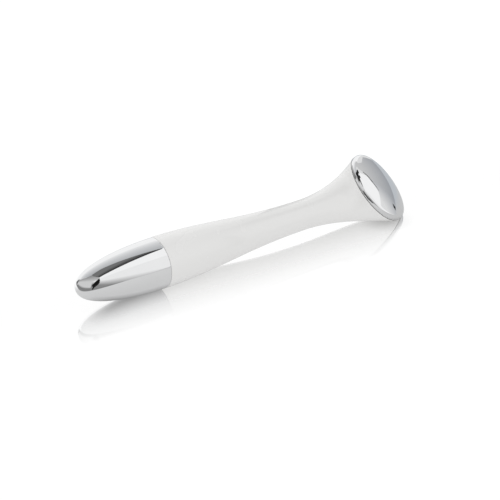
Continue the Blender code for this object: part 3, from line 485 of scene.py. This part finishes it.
def make_neck_thread():
    """Threaded ring with its groove for the seal and its collar in the handle's mouth."""

    def ridge(station):
        depth = THREAD_DEPTH * thread_rise(station, THREAD_START, THREAD_END)
        return ridged_ring(station, lambda angle: THREAD_ROOT + depth * thread_wave(station, angle))

    stations, radii = zip(*(handle_point(t) for t in np.linspace(0, 1, NECK_THREAD_RINGS)))
    flange = float(np.interp(NECK_END, stations, radii)) - SHELL_WALL - SEAM
    rings = [plain_ring(NECK_START, THREAD_ROOT - CHAMFER), plain_ring(NECK_START + CHAMFER, THREAD_ROOT)]
    rings += [ridge(x) for x in np.linspace(THREAD_START, THREAD_END, NECK_THREAD_RINGS)]
    outline = [
        (THREAD_END, THREAD_ROOT),
        (GROOVE_START - SEAM, THREAD_ROOT),
        (GROOVE_START - SEAM, THREAD_ROOT + THREAD_DEPTH),
        (GROOVE_START, THREAD_ROOT + THREAD_DEPTH),
        (GROOVE_START, GROOVE),
        (GROOVE_END, GROOVE),
        (GROOVE_END, COLLAR),
        (COLLAR_END, COLLAR),
        (COLLAR_END, flange),
        (NECK_END, flange),
        (NECK_END, NECK_BORE),
        (NECK_START, NECK_BORE),
        (NECK_START, THREAD_ROOT - CHAMFER),
    ]
    rings += [plain_ring(x, radius) for x, radius in softened(outline, NECK_SOFTNESS, steps=3)[1:-1]]
    return skin("neck_thread", rings, WAND)


def make_cap_lining():
    """Brass lining with its inner thread, its seat for the seal and the rivet's hole."""

    def ridge(station):
        depth = THREAD_DEPTH * thread_rise(station, INSERT_THREAD_START, INSERT_THREAD_END)
        return ridged_ring(station, lambda angle: INSERT_ROOT - depth * (1 - thread_wave(station, angle)))

    outside = np.linspace(INSERT_START, INSERT_END - EDGE_BREAK, LINING_RINGS)
    thread = np.linspace(INSERT_THREAD_END, INSERT_THREAD_START, LINING_THREAD_RINGS)
    rings = [plain_ring(x, cap_radius(INSERT_INSET, x)) for x in outside]
    rings.append(plain_ring(INSERT_END, cap_radius(INSERT_INSET, INSERT_END) - EDGE_BREAK))
    rings.append(plain_ring(INSERT_END, SEAL_BORE + CHAMFER))
    rings.append(plain_ring(INSERT_END - CHAMFER, SEAL_BORE))
    rings.append(plain_ring(INSERT_THREAD_END, SEAL_BORE))
    rings += [ridge(x) for x in thread]
    rings.append(plain_ring(INSERT_THREAD_START, INSERT_BORE))
    rings.append(plain_ring(INSERT_FLOOR + FLOOR_CHAMFER, INSERT_BORE))
    rings.append(plain_ring(INSERT_FLOOR, INSERT_BORE - FLOOR_CHAMFER))
    rings.append(plain_ring(INSERT_FLOOR, RIVET_HOLE))
    rings.append(plain_ring(INSERT_START, RIVET_HOLE))
    return skin("cap_lining", rings, WAND)


def make_spring():
    """Round wire wound between the plate and the cell, swept as a mesh tube."""
    steps = SPRING_STEPS_PER_TURN * SPRING_TURNS
    sides = SPRING_SIDES
    lean = (SPRING_END - SPRING_START) / (2 * math.pi * SPRING_TURNS * SPRING)
    verts, faces = [], []
    for i in range(steps + 1):
        angle = 2 * math.pi * SPRING_TURNS * i / steps
        station = SPRING_START + (SPRING_END - SPRING_START) * i / steps
        radial = Vector((0, math.cos(angle), math.sin(angle)))
        across = Vector((1, lean * math.sin(angle), -lean * math.cos(angle))).normalized()
        centre = Vector((station, 0, 0)) + SPRING * radial
        for j in range(sides):
            turn = 2 * math.pi * j / sides
            verts.append(centre + SPRING_WIRE * (math.cos(turn) * radial + math.sin(turn) * across))
    for i in range(steps):
        a = i * sides
        b = (i + 1) * sides
        for j in range(sides):
            k = (j + 1) % sides
            faces.append((a + j, a + k, b + k, b + j))
    faces.append(tuple(range(sides)))
    faces.append(tuple(steps * sides + j for j in range(sides)))
    return to_object("spring_coil", verts, faces, WAND)


# Materials


def add(tree, kind, **values):
    """New node with some of its settings."""
    node = tree.nodes.new(kind)
    for key, value in values.items():
        setattr(node, key, value)
    return node


def noise(tree, scale, detail, stretch=(1, 1, 1)):
    """Noise in the object's own space, with a scale in cycles a metre."""
    place = add(tree, "ShaderNodeTexCoord")
    fit = add(tree, "ShaderNodeMapping")
    grain = add(tree, "ShaderNodeTexNoise")
    fit.inputs["Scale"].default_value = stretch
    grain.inputs["Scale"].default_value = scale
    grain.inputs["Detail"].default_value = detail
    tree.links.new(place.outputs["Object"], fit.inputs["Vector"])
    tree.links.new(fit.outputs["Vector"], grain.inputs["Vector"])
    return grain.outputs["Fac"]


def between(tree, source, low, high, start=0.3, end=0.7):
    """A number that goes from low to high while a value goes from start to end."""
    fit = add(tree, "ShaderNodeMapRange")
    for key, value in (("From Min", start), ("From Max", end), ("To Min", low), ("To Max", high)):
        fit.inputs[key].default_value = value
    tree.links.new(source, fit.inputs["Value"])
    return fit.outputs["Result"]


def grey(level, tint=(1, 1, 1)):
    """Colour of a level, white or tinted."""
    return tuple(level * c for c in tint)


def blend_colours(tree, source, one, two):
    """Colour that goes from one to the other while a value goes from 0 to 1."""
    mix = add(tree, "ShaderNodeMix", data_type="RGBA")
    mix.inputs[6].default_value = (*one, 1)
    mix.inputs[7].default_value = (*two, 1)
    tree.links.new(source, mix.inputs[0])
    return mix.outputs[2]


def bump(tree, shader, source, strength, depth):
    """Fine relief that follows a value, with its depth in metres."""
    lift = add(tree, "ShaderNodeBump")
    lift.inputs["Strength"].default_value = strength
    lift.inputs["Distance"].default_value = depth
    tree.links.new(source, lift.inputs["Height"])
    tree.links.new(lift.outputs["Normal"], shader.inputs["Normal"])


def new_material(name, metallic=0.0):
    """Material with its tree and its main shader."""
    look = bpy.data.materials.new(name)
    look.use_nodes = True
    shader = look.node_tree.nodes["Principled BSDF"]
    shader.inputs["Metallic"].default_value = metallic
    return look, look.node_tree, shader


def bare_material(name):
    """Material with an empty tree."""
    look = bpy.data.materials.new(name)
    look.use_nodes = True
    look.node_tree.nodes.clear()
    return look, look.node_tree


def end_in_mix(tree, share, one, two):
    """Ends a tree in two shaders, of which the second has a share."""
    mix = add(tree, "ShaderNodeMixShader")
    out = add(tree, "ShaderNodeOutputMaterial")
    tree.links.new(share, mix.inputs[0])
    tree.links.new(one.outputs[0], mix.inputs[1])
    tree.links.new(two.outputs[0], mix.inputs[2])
    tree.links.new(mix.outputs[0], out.inputs["Surface"])


def white_gloss():
    """Glossy moulded white: faint mottling in colour and gloss, and a very slight waviness."""
    look, tree, shader = new_material("white_gloss_plastic")
    shader.inputs["Coat Weight"].default_value = 0.3
    shader.inputs["Coat Roughness"].default_value = 0.08
    warm = (0.842, 0.838, 0.828)
    cool = (0.834, 0.833, 0.826)
    colour = blend_colours(tree, noise(tree, scale=60, detail=2), warm, cool)
    gloss = between(tree, noise(tree, scale=120, detail=2), low=0.25, high=0.28)
    tree.links.new(colour, shader.inputs["Base Color"])
    tree.links.new(gloss, shader.inputs["Roughness"])
    bump(tree, shader, noise(tree, scale=160, detail=2), strength=0.02, depth=0.00003)
    return look


def plated(name, colour, low, high, stretch=(1, 1, 1), depth=0.00001):
    """Plated or bare metal, with a gloss that changes finely and a trace of tool marks."""
    look, tree, shader = new_material(name, metallic=1.0)
    worn = tuple(c * 0.96 for c in colour)
    tone = blend_colours(tree, noise(tree, scale=140, detail=3), colour, worn)
    gloss = between(tree, noise(tree, 1500, 6, stretch), low, high)
    tree.links.new(tone, shader.inputs["Base Color"])
    tree.links.new(gloss, shader.inputs["Roughness"])
    bump(tree, shader, noise(tree, 2600, 4, stretch), strength=0.03, depth=depth)
    return look


def moulded(name, colour, roughness, grain=2200, strength=0.25):
    """Moulded plastic, rubber or lacquer with a fine grain."""
    look, tree, shader = new_material(name)
    dark = tuple(c * 0.84 for c in colour)
    tone = blend_colours(tree, noise(tree, scale=260, detail=3), colour, dark)
    gloss = between(tree, noise(tree, scale=1400, detail=4), roughness - 0.06, roughness + 0.06)
    tree.links.new(tone, shader.inputs["Base Color"])
    tree.links.new(gloss, shader.inputs["Roughness"])
    bump(tree, shader, noise(tree, grain, detail=5), strength, depth=0.00004)
    return look


def make_looks():
    """One material for each of the record's slots. A lathe's marks run round the X axis."""
    lathe = (8, 1, 1)
    wound = (12, 1, 1)
    return {
        "white_shell": white_gloss(),
        "polished_metal": plated("polished_chrome", (0.885, 0.89, 0.895), 0.032, 0.046, depth=0.000004),
        "nickel": plated("satin_nickel", (0.62, 0.60, 0.56), 0.22, 0.34, stretch=lathe),
        "brass": plated("machined_brass", (0.74, 0.54, 0.24), 0.20, 0.32, stretch=lathe),
        "steel": plated("plain_steel", (0.55, 0.55, 0.56), 0.26, 0.38, stretch=lathe),
        "spring_steel": plated("spring_wire", (0.60, 0.60, 0.61), 0.18, 0.26),
        "black_rubber": moulded("black_rubber", (0.03, 0.03, 0.03), 0.62),
        "grey_rubber": moulded("grey_rubber", (0.20, 0.20, 0.21), 0.66),
        "grey_plastic": moulded("grey_plastic", (0.30, 0.31, 0.32), 0.50),
        "natural_plastic": moulded("natural_plastic", (0.72, 0.72, 0.68), 0.45),
        "black_plastic": moulded("black_plastic", (0.02, 0.02, 0.022), 0.45),
        "cell_jacket": moulded("cell_jacket", (0.10, 0.20, 0.32), 0.30, grain=600, strength=0.05),
        "board": moulded("solder_mask", (0.03, 0.18, 0.08), 0.35, grain=900, strength=0.10),
        "ferrite": moulded("ferrite", (0.06, 0.06, 0.065), 0.60, grain=3000, strength=0.30),
        "winding": plated("copper_winding", (0.75, 0.32, 0.16), 0.25, 0.40, stretch=wound),
        "red_wire": moulded("red_insulation", (0.55, 0.03, 0.03), 0.40, grain=1500, strength=0.08),
        "blue_wire": moulded("blue_insulation", (0.04, 0.08, 0.40), 0.40, grain=1500, strength=0.08),
        "black_wire": moulded("black_insulation", (0.03, 0.03, 0.03), 0.40, grain=1500, strength=0.08),
    }


def dress(item, slot, body, *nodes):
    """Gives a piece its material and its body, and hides the CAD nodes that it stands for."""
    item.data.materials.append(LOOKS[slot])
    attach(item, body)
    if nodes:
        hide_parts(*nodes)


# Studio: camera, white room, floor, lamps and what the polished metal mirrors


def make_camera():
    """Long lens that looks down on the wand from beyond its cap."""
    toward = Vector((
        math.sin(AZIMUTH) * math.cos(ELEVATION),
        -math.cos(AZIMUTH) * math.cos(ELEVATION),
        math.sin(ELEVATION),
    ))
    data = bpy.data.cameras.new("camera")
    data.lens = LENS
    data.sensor_width = SENSOR
    data.clip_start, data.clip_end = CLIP
    camera = bpy.data.objects.new("camera", data)
    bpy.context.scene.collection.objects.link(camera)
    camera.location = AIM + DISTANCE * toward
    camera.rotation_euler = (-toward).to_track_quat("-Z", "Y").to_euler()
    bpy.context.scene.camera = camera


def by_ray(tree, plain, **levels):
    """A strength that is plain, but another level for some kinds of ray."""
    path = add(tree, "ShaderNodeLightPath")
    total = None
    for ray, level in levels.items():
        step = add(tree, "ShaderNodeMath", operation="MULTIPLY_ADD")
        step.inputs[1].default_value = level - plain
        step.inputs[2].default_value = plain
        tree.links.new(path.outputs[ray.replace("_", " ")], step.inputs[0])
        if total is not None:
            tree.links.new(total, step.inputs[2])
        total = step.outputs[0]
    return total


def make_world():
    """White all round for the camera and in the metal, and a little less as light."""
    world = bpy.data.worlds.new("studio")
    bpy.context.scene.world = world
    world.use_nodes = True
    tree = world.node_tree
    back = tree.nodes["Background"]
    back.inputs["Color"].default_value = (1, 1, 1, 1)
    strength = by_ray(tree, ROOM_LIGHT, Is_Camera_Ray=1.0, Is_Glossy_Ray=1.0, Is_Transmission_Ray=1.0)
    tree.links.new(strength, back.inputs["Strength"])


def reach(tree, along):
    """How far a place lies along an axis, in metres of the object's own space."""
    place = add(tree, "ShaderNodeTexCoord")
    slope = add(tree, "ShaderNodeVectorMath", operation="DOT_PRODUCT")
    slope.inputs[1].default_value = along
    tree.links.new(place.outputs["Object"], slope.inputs[0])
    return slope.outputs["Value"]


def away(tree, point):
    """How far a place lies from a point, in metres of the object's own space."""
    place = add(tree, "ShaderNodeTexCoord")
    apart = add(tree, "ShaderNodeVectorMath", operation="DISTANCE")
    apart.inputs[1].default_value = point
    tree.links.new(place.outputs["Object"], apart.inputs[0])
    return apart.outputs["Value"]


def ray_is(tree, kind):
    """1 for one kind of ray, such as Glossy, and 0 for the others."""
    return add(tree, "ShaderNodeLightPath").outputs[f"Is {kind} Ray"]


def maths(tree, operation, one, two=None):
    """Result of a sum on values or on sockets."""
    step = add(tree, "ShaderNodeMath", operation=operation)
    for socket, value in zip(step.inputs, (one, two)):
        if isinstance(value, (int, float)):
            socket.default_value = value
        elif value is not None:
            tree.links.new(value, socket)
    return step.outputs[0]


def product(tree, *values):
    """Product of two or more sockets."""
    total = values[0]
    for value in values[1:]:
        total = maths(tree, "MULTIPLY", total, value)
    return total


def painted_floor_shade(tree, x, y):
    """Painted shade on the sheet under the cap, most of it in the metal alone, and under the head."""
    # Painted contact shadow, cut from the sheet's glow near where the cap and the head rest
    beside = maths(tree, "ABSOLUTE", maths(tree, "SUBTRACT", y, CAP_TIP.y))
    under_cap = product(
        tree,
        between(tree, x, 1, 0, start=-0.040, end=-0.015),
        between(tree, x, 0, 1, start=-0.075, end=-0.064),
        between(tree, beside, 0.75, 0, start=0.001, end=0.0095),
        between(tree, ray_is(tree, "Glossy"), 0.10, 1, start=0, end=1),
    )
    under_head = between(tree, away(tree, HEAD_CONTACT), 0.38, 0, start=0.003, end=0.012)
    return maths(tree, "MAXIMUM", under_cap, under_head)


def floor_glow(tree):
    """The sheet's own light, less its painted shade.

    In the metal it also shows painted shade past its left edge and at its right end, and painted light at
    its back.
    """
    x = reach(tree, (1, 0, 0))
    y = reach(tree, (0, 1, 0))
    # Painted light and shade of the sheet, seen in the metal alone
    painted_bright_back = product(
        tree,
        between(tree, y, 0, 0.8, start=0.014, end=0.030),
        between(tree, x, 1, 0, start=0.075, end=0.095),
    )
    mirrored = product(
        tree,
        between(tree, reach(tree, (0.97, 0.228, 0)), 0, 1, start=-0.104, end=-0.094),
        between(tree, x, 1, 0.78, start=0.03, end=0.085),
        maths(tree, "ADD", painted_bright_back, 1),
    )
    change = product(tree, maths(tree, "SUBTRACT", mirrored, 1), ray_is(tree, "Glossy"))
    level = by_ray(tree, SHEET_LIGHT, Is_Camera_Ray=SHEET_SEEN, Is_Glossy_Ray=SHEET_MIRRORED)
    unshaded = maths(tree, "SUBTRACT", 1, painted_floor_shade(tree, x, y))
    return product(tree, level, unshaded, maths(tree, "ADD", change, 1))


def floor_tint(tree):
    """White, but a painted bluish reflection in the metal at the back of the sheet's right end."""
    # Painted bluish reflection, seen in the metal alone
    painted_bluish_reflection = product(
        tree,
        between(tree, reach(tree, (1, 0, 0)), 0, 1, start=0.080, end=0.110),
        between(tree, reach(tree, (0, 1, 0)), 0, 1, start=0.0, end=0.020),
        ray_is(tree, "Glossy"),
    )
    return blend_colours(tree, painted_bluish_reflection, (1, 1, 1), (0.82, 0.90, 0.99))


def floor_shine(tree):
    """How much the sheet mirrors for the camera: most along the wand, and nothing further off."""
    across = reach(tree, (0.066, 1.0, 0.0))
    near = between(tree, across, 0, 0.92, start=-0.026, end=0.002)
    far = between(tree, across, 1, 0, start=0.012, end=0.032)
    return product(tree, near, far, ray_is(tree, "Camera"))


def flat_object(name, corners, look):
    """One flat face with its material."""
    mesh = bpy.data.meshes.new(name)
    mesh.from_pydata([tuple(corner) for corner in corners], [], [tuple(range(len(corners)))])
    mesh.materials.append(look)
    item = bpy.data.objects.new(name, mesh)
    bpy.context.scene.collection.objects.link(item)
    return item


def make_floor():
    """White gloss sheet with painted shade, that mirrors the wand where it touches and fades to plain
    white.
    """
    look, tree = bare_material("floor_white")
    matte = add(tree, "ShaderNodeBsdfDiffuse")
    matte.inputs["Color"].default_value = (*grey(SHEET_MATTE), 1)
    glow = add(tree, "ShaderNodeEmission")
    tree.links.new(floor_glow(tree), glow.inputs["Strength"])
    tree.links.new(floor_tint(tree), glow.inputs["Color"])
    plain = add(tree, "ShaderNodeAddShader")
    tree.links.new(matte.outputs[0], plain.inputs[0])
    tree.links.new(glow.outputs[0], plain.inputs[1])
    mirror = add(tree, "ShaderNodeBsdfGlossy")
    mirror.inputs["Color"].default_value = (1, 1, 1, 1)
    mirror.inputs["Roughness"].default_value = 0.0
    end_in_mix(tree, floor_shine(tree), plain, mirror)
    square = ((-1, -1), (1, -1), (1, 1), (-1, 1))
    floor = flat_object("floor", [(x * SHEET_HALF, y * SHEET_HALF, 0) for x, y in square], look)
    floor.location.z = CAD_BOX[0].z - SHEET_DROP


def make_lamp(name, location, size, power):
    """Soft lamp that faces the wand and doesn't show in the metal."""
    data = bpy.data.lights.new(name, "AREA")
    data.shape = "RECTANGLE"
    data.size, data.size_y = size
    data.energy = power
    lamp = bpy.data.objects.new(name, data)
    bpy.context.scene.collection.objects.link(lamp)
    lamp.location = location
    lamp.rotation_euler = (-Vector(location)).to_track_quat("-Z", "Y").to_euler()
    lamp.visible_glossy = False


def overhead(points, layer=0):
    """Outline on a ceiling, from slopes off the vertical. A higher layer lies just above."""
    return [Vector((x, y, 1)) * (CEILING + layer * CEILING_STEP) for x, y in points]


def upright(azimuth, distance, points, unit=1.0):
    """Outline on an upright plane that faces the eye: azimuth from +Y towards +X, in degrees."""
    a = math.radians(azimuth)
    ahead = Vector((math.sin(a), math.cos(a), 0)) * distance
    right = Vector((math.cos(a), -math.sin(a), 0))
    return [ahead + right * (aside * unit) + Vector((0, 0, height * unit)) for aside, height in points]


def make_card(name, eye, corners, dark, light=None, along=(0, 0, 1), start=0.0, end=1.0):
    """Flat card seen only in the wand's surfaces, of one colour or shading from dark to light.

    Its corners and its shading are taken from the eye, a place near the metal that mirrors it:
    the shade changes as the reach along an axis goes from start to end. The floor's perfect
    mirror doesn't show it, because a singular ray passes through.
    """
    look, tree = bare_material(name)
    share = between(tree, reach(tree, along), 0, 1, start, end)
    glow = add(tree, "ShaderNodeEmission")
    clear = add(tree, "ShaderNodeBsdfTransparent")
    tree.links.new(blend_colours(tree, share, dark, light or dark), glow.inputs["Color"])
    end_in_mix(tree, ray_is(tree, "Singular"), glow, clear)
    card = flat_object(name, corners, look)
    card.location = eye
    card.visible_camera = False
    card.visible_diffuse = False
    card.visible_shadow = False
    card.visible_transmission = False


def make_ceiling_cards():
    """Overhead: a dark gap between a lilac panel and the left side of the room."""
    gap = [
        (0.56, -0.08), (0.39, 0.04), (0.20, 0.14), (0.01, 0.20), (-0.24, 0.13), (-0.28, -0.11),
        (-0.25, -0.40), (-0.20, -0.59), (0.09, -0.41), (0.25, -0.29), (0.38, -0.20),
    ]
    make_card(
        "ceiling_gap", AT_CAP, overhead(gap), grey(0.012), grey(0.18),
        along=(-0.56, 0.83, 0.0), start=-0.56, end=-0.18,
    )
    lilac = (0.97, 0.99, 1.02)
    panel = [
        (-0.26, 0.10), (0.01, 0.20), (0.20, 0.14), (0.39, 0.04), (0.56, -0.08), (1.3, 0.3),
        (0.9, 1.6), (-0.2, 1.9), (-1.15, 1.8), (-0.71, 0.73), (-0.47, 0.31), (-0.33, 0.13),
    ]
    make_card(
        "ceiling_panel", AT_CAP, overhead(panel, layer=1), grey(0.51, lilac), grey(1.0),
        along=(0.3, 1.0, 0.0), start=0.18, end=2.4,
    )
    left = [
        (-0.24, 0.13), (-0.35, 0.15), (-0.49, 0.31), (-0.73, 0.73), (-1.2, 1.76), (-3.2, 3.2),
        (-3.2, -5.6), (-1.0, -1.80), (-0.25, -0.70), (-0.20, -0.59), (-0.25, -0.40), (-0.28, -0.11),
    ]
    make_card(
        "left_ceiling", AT_CAP, overhead(left, layer=2), grey(0.28), grey(0.68),
        along=(-0.885, -0.467, 0.0), start=0.33, end=1.3,
    )


def make_wall_cards():
    """Upright: the walls to the left and in front of the wand, and the camera's tripod."""
    wall = upright(180, 1.3, [(-1.6, 0), (0.9, 0), (0.9, 1.6), (-1.6, 1.6)])
    make_card("front_wall", UNDER_CAP, wall, grey(0.28), grey(0.92), along=(1, 0, 1), end=0.75)
    side = upright(-90, 4.8, [(-8.3, 0), (4.8, 0), (4.8, 1.52), (-8.3, 1.52)])
    make_card("left_wall", UNDER_CAP, side, grey(0.16), grey(0.64), end=1.5)
    corner = upright(-31, 4.0, [(-0.8, 0), (0.8, 0), (0.4, 1.9), (-0.6, 1.9)])
    make_card("left_corner", UNDER_CAP, corner, grey(0.08), grey(0.30), end=1.9)
    legs = [
        (-8, 117), (-12, 77), (-12, 50), (-7, 33), (1, 18),
        (6, 0), (10, 0), (8, 21), (13, 44), (5, 73),
    ]
    make_card("tripod", UNDER_TIP, upright(-157, 0.075, legs, MM), grey(0.01))


def make_screen_cards(eye):
    """Beside the head: a bluish screen in a haze, with a flap, a dark edge and a small peg."""
    blue = (0.95, 0.99, 1.06)

    def beside(points, layer):
        return upright(80, SCREEN - layer * SCREEN_STEP, points, MM)

    haze = [
        (-92, 0), (-78, 44), (-67, 60), (-53, 80), (-46, 97), (-176, 270), (-180, 420), (0, 420), (0, 0),
    ]
    make_card("screen_haze", eye, beside(haze, layer=-1), grey(0.80))
    screen = [
        (-85, 0), (5, 0), (5, 81), (-7, 95), (-14, 104), (-94, 346), (-94, 420),
        (-180, 420), (-173, 254), (-37, 88), (-44, 71), (-59, 54), (-70, 41),
    ]
    make_card("screen", eye, beside(screen, layer=0), grey(0.385, blue), grey(0.62), end=0.095)
    flap = [(5, 0), (100, 0), (100, 56), (60, 60), (34, 62), (26, 67), (12, 78), (5, 82)]
    make_card(
        "screen_flap", eye, beside(flap, layer=1), grey(0.40, blue), grey(0.80),
        along=(0.17, -0.97, 0.35), start=0.005, end=0.070,
    )
    edge = [
        (-7, 96.5), (0.5, 87), (13.5, 77.5), (26.5, 60.5),
        (25.5, 59.5), (10.5, 74.5), (-2.5, 83.5), (-9, 93.5),
    ]
    make_card("screen_edge", eye, beside(edge, layer=2), grey(0.06))
    peg = [(16, 1), (24, 1), (25, 9), (18, 12)]
    make_card("screen_peg", eye, beside(peg, layer=2), grey(0.03))


def make_rim_cards(eye):
    """Close to the head: a leafy blot and a light patch above, a shade behind and a dark line in front."""

    def above(points, height):
        return [Vector((x, y, height)) * MM - eye for x, y in points]

    blot = [
        (105, 10), (115, 9), (125, 8), (59, -2), (124, 0), (51, -11),
        (4, -4), (30, 2), (35, 9), (32, 20), (56, 9),
    ]
    make_card(
        "leafy_blot", eye, above(blot, height=60), grey(0.02), grey(0.03),
        along=(1, 0, 0), start=-0.05, end=0.08,
    )
    patch = [(40, -9), (40, -38), (0, -38), (0, -9)]
    make_card("rim_light", eye, above(patch, height=61), grey(0.74))
    shade = [(-30, 15), (6, 15), (6, 32), (-11, 42), (-30, 50)]
    make_card(
        "back_shade", eye, upright(-28, 0.04, shade, MM), grey(0.12), grey(0.60),
        along=(0.883, 0.469, 0), start=-0.030, end=0.006,
    )
    line = [(24, 34), (24, 14), (14, 2), (-2, 0), (-20, 8), (-14, 20), (0, 30), (8, 38)]
    make_card("rim_line", eye, upright(-125, 0.06, line, MM), grey(0.1))


make_camera()
make_world()
make_floor()
make_lamp("softbox_back", location=(0.30, 1.30, 0.70), size=(1.4, 0.6), power=4.0)
make_lamp("softbox_front", location=(-0.90, -0.90, 0.80), size=(1.0, 1.0), power=1.4)

# Cards, for what the photograph's metal mirrors
make_ceiling_cards()
make_wall_cards()
make_screen_cards(UNDER_HEAD)
make_rim_cards(UNDER_HEAD)

LOOKS = make_looks()
SLOTS = {part["node"]: part["material_slot"] for part in frame["record"]["subparts"]}
for name, node in frame["nodes"].items():
    node.data.materials.clear()
    node.data.materials.append(LOOKS[SLOTS[name]])

dress(make_handle_skin(), "white_shell", "handle", "handle_shell")
dress(make_cap_skin(), "polished_metal", "cap", "tip_cap")
dress(make_head_skin(), "polished_metal", "handle", "head_plate")
for number, spot in enumerate(screw_places(), 1):
    dress(make_boss(number, spot), "polished_metal", "handle")
dress(make_gasket(), "black_rubber", "handle", "head_gasket")
dress(make_seal(), "black_rubber", "handle", "cap_o_ring")
dress(make_neck_thread(), "nickel", "handle", "neck_ring")
dress(make_cap_lining(), "brass", "cap", "cap_insert")
dress(make_spring(), "spring_steel", "cap_slider", "battery_spring")

bpy.context.scene.view_settings.view_transform = "Standard"
bpy.context.view_layer.update()
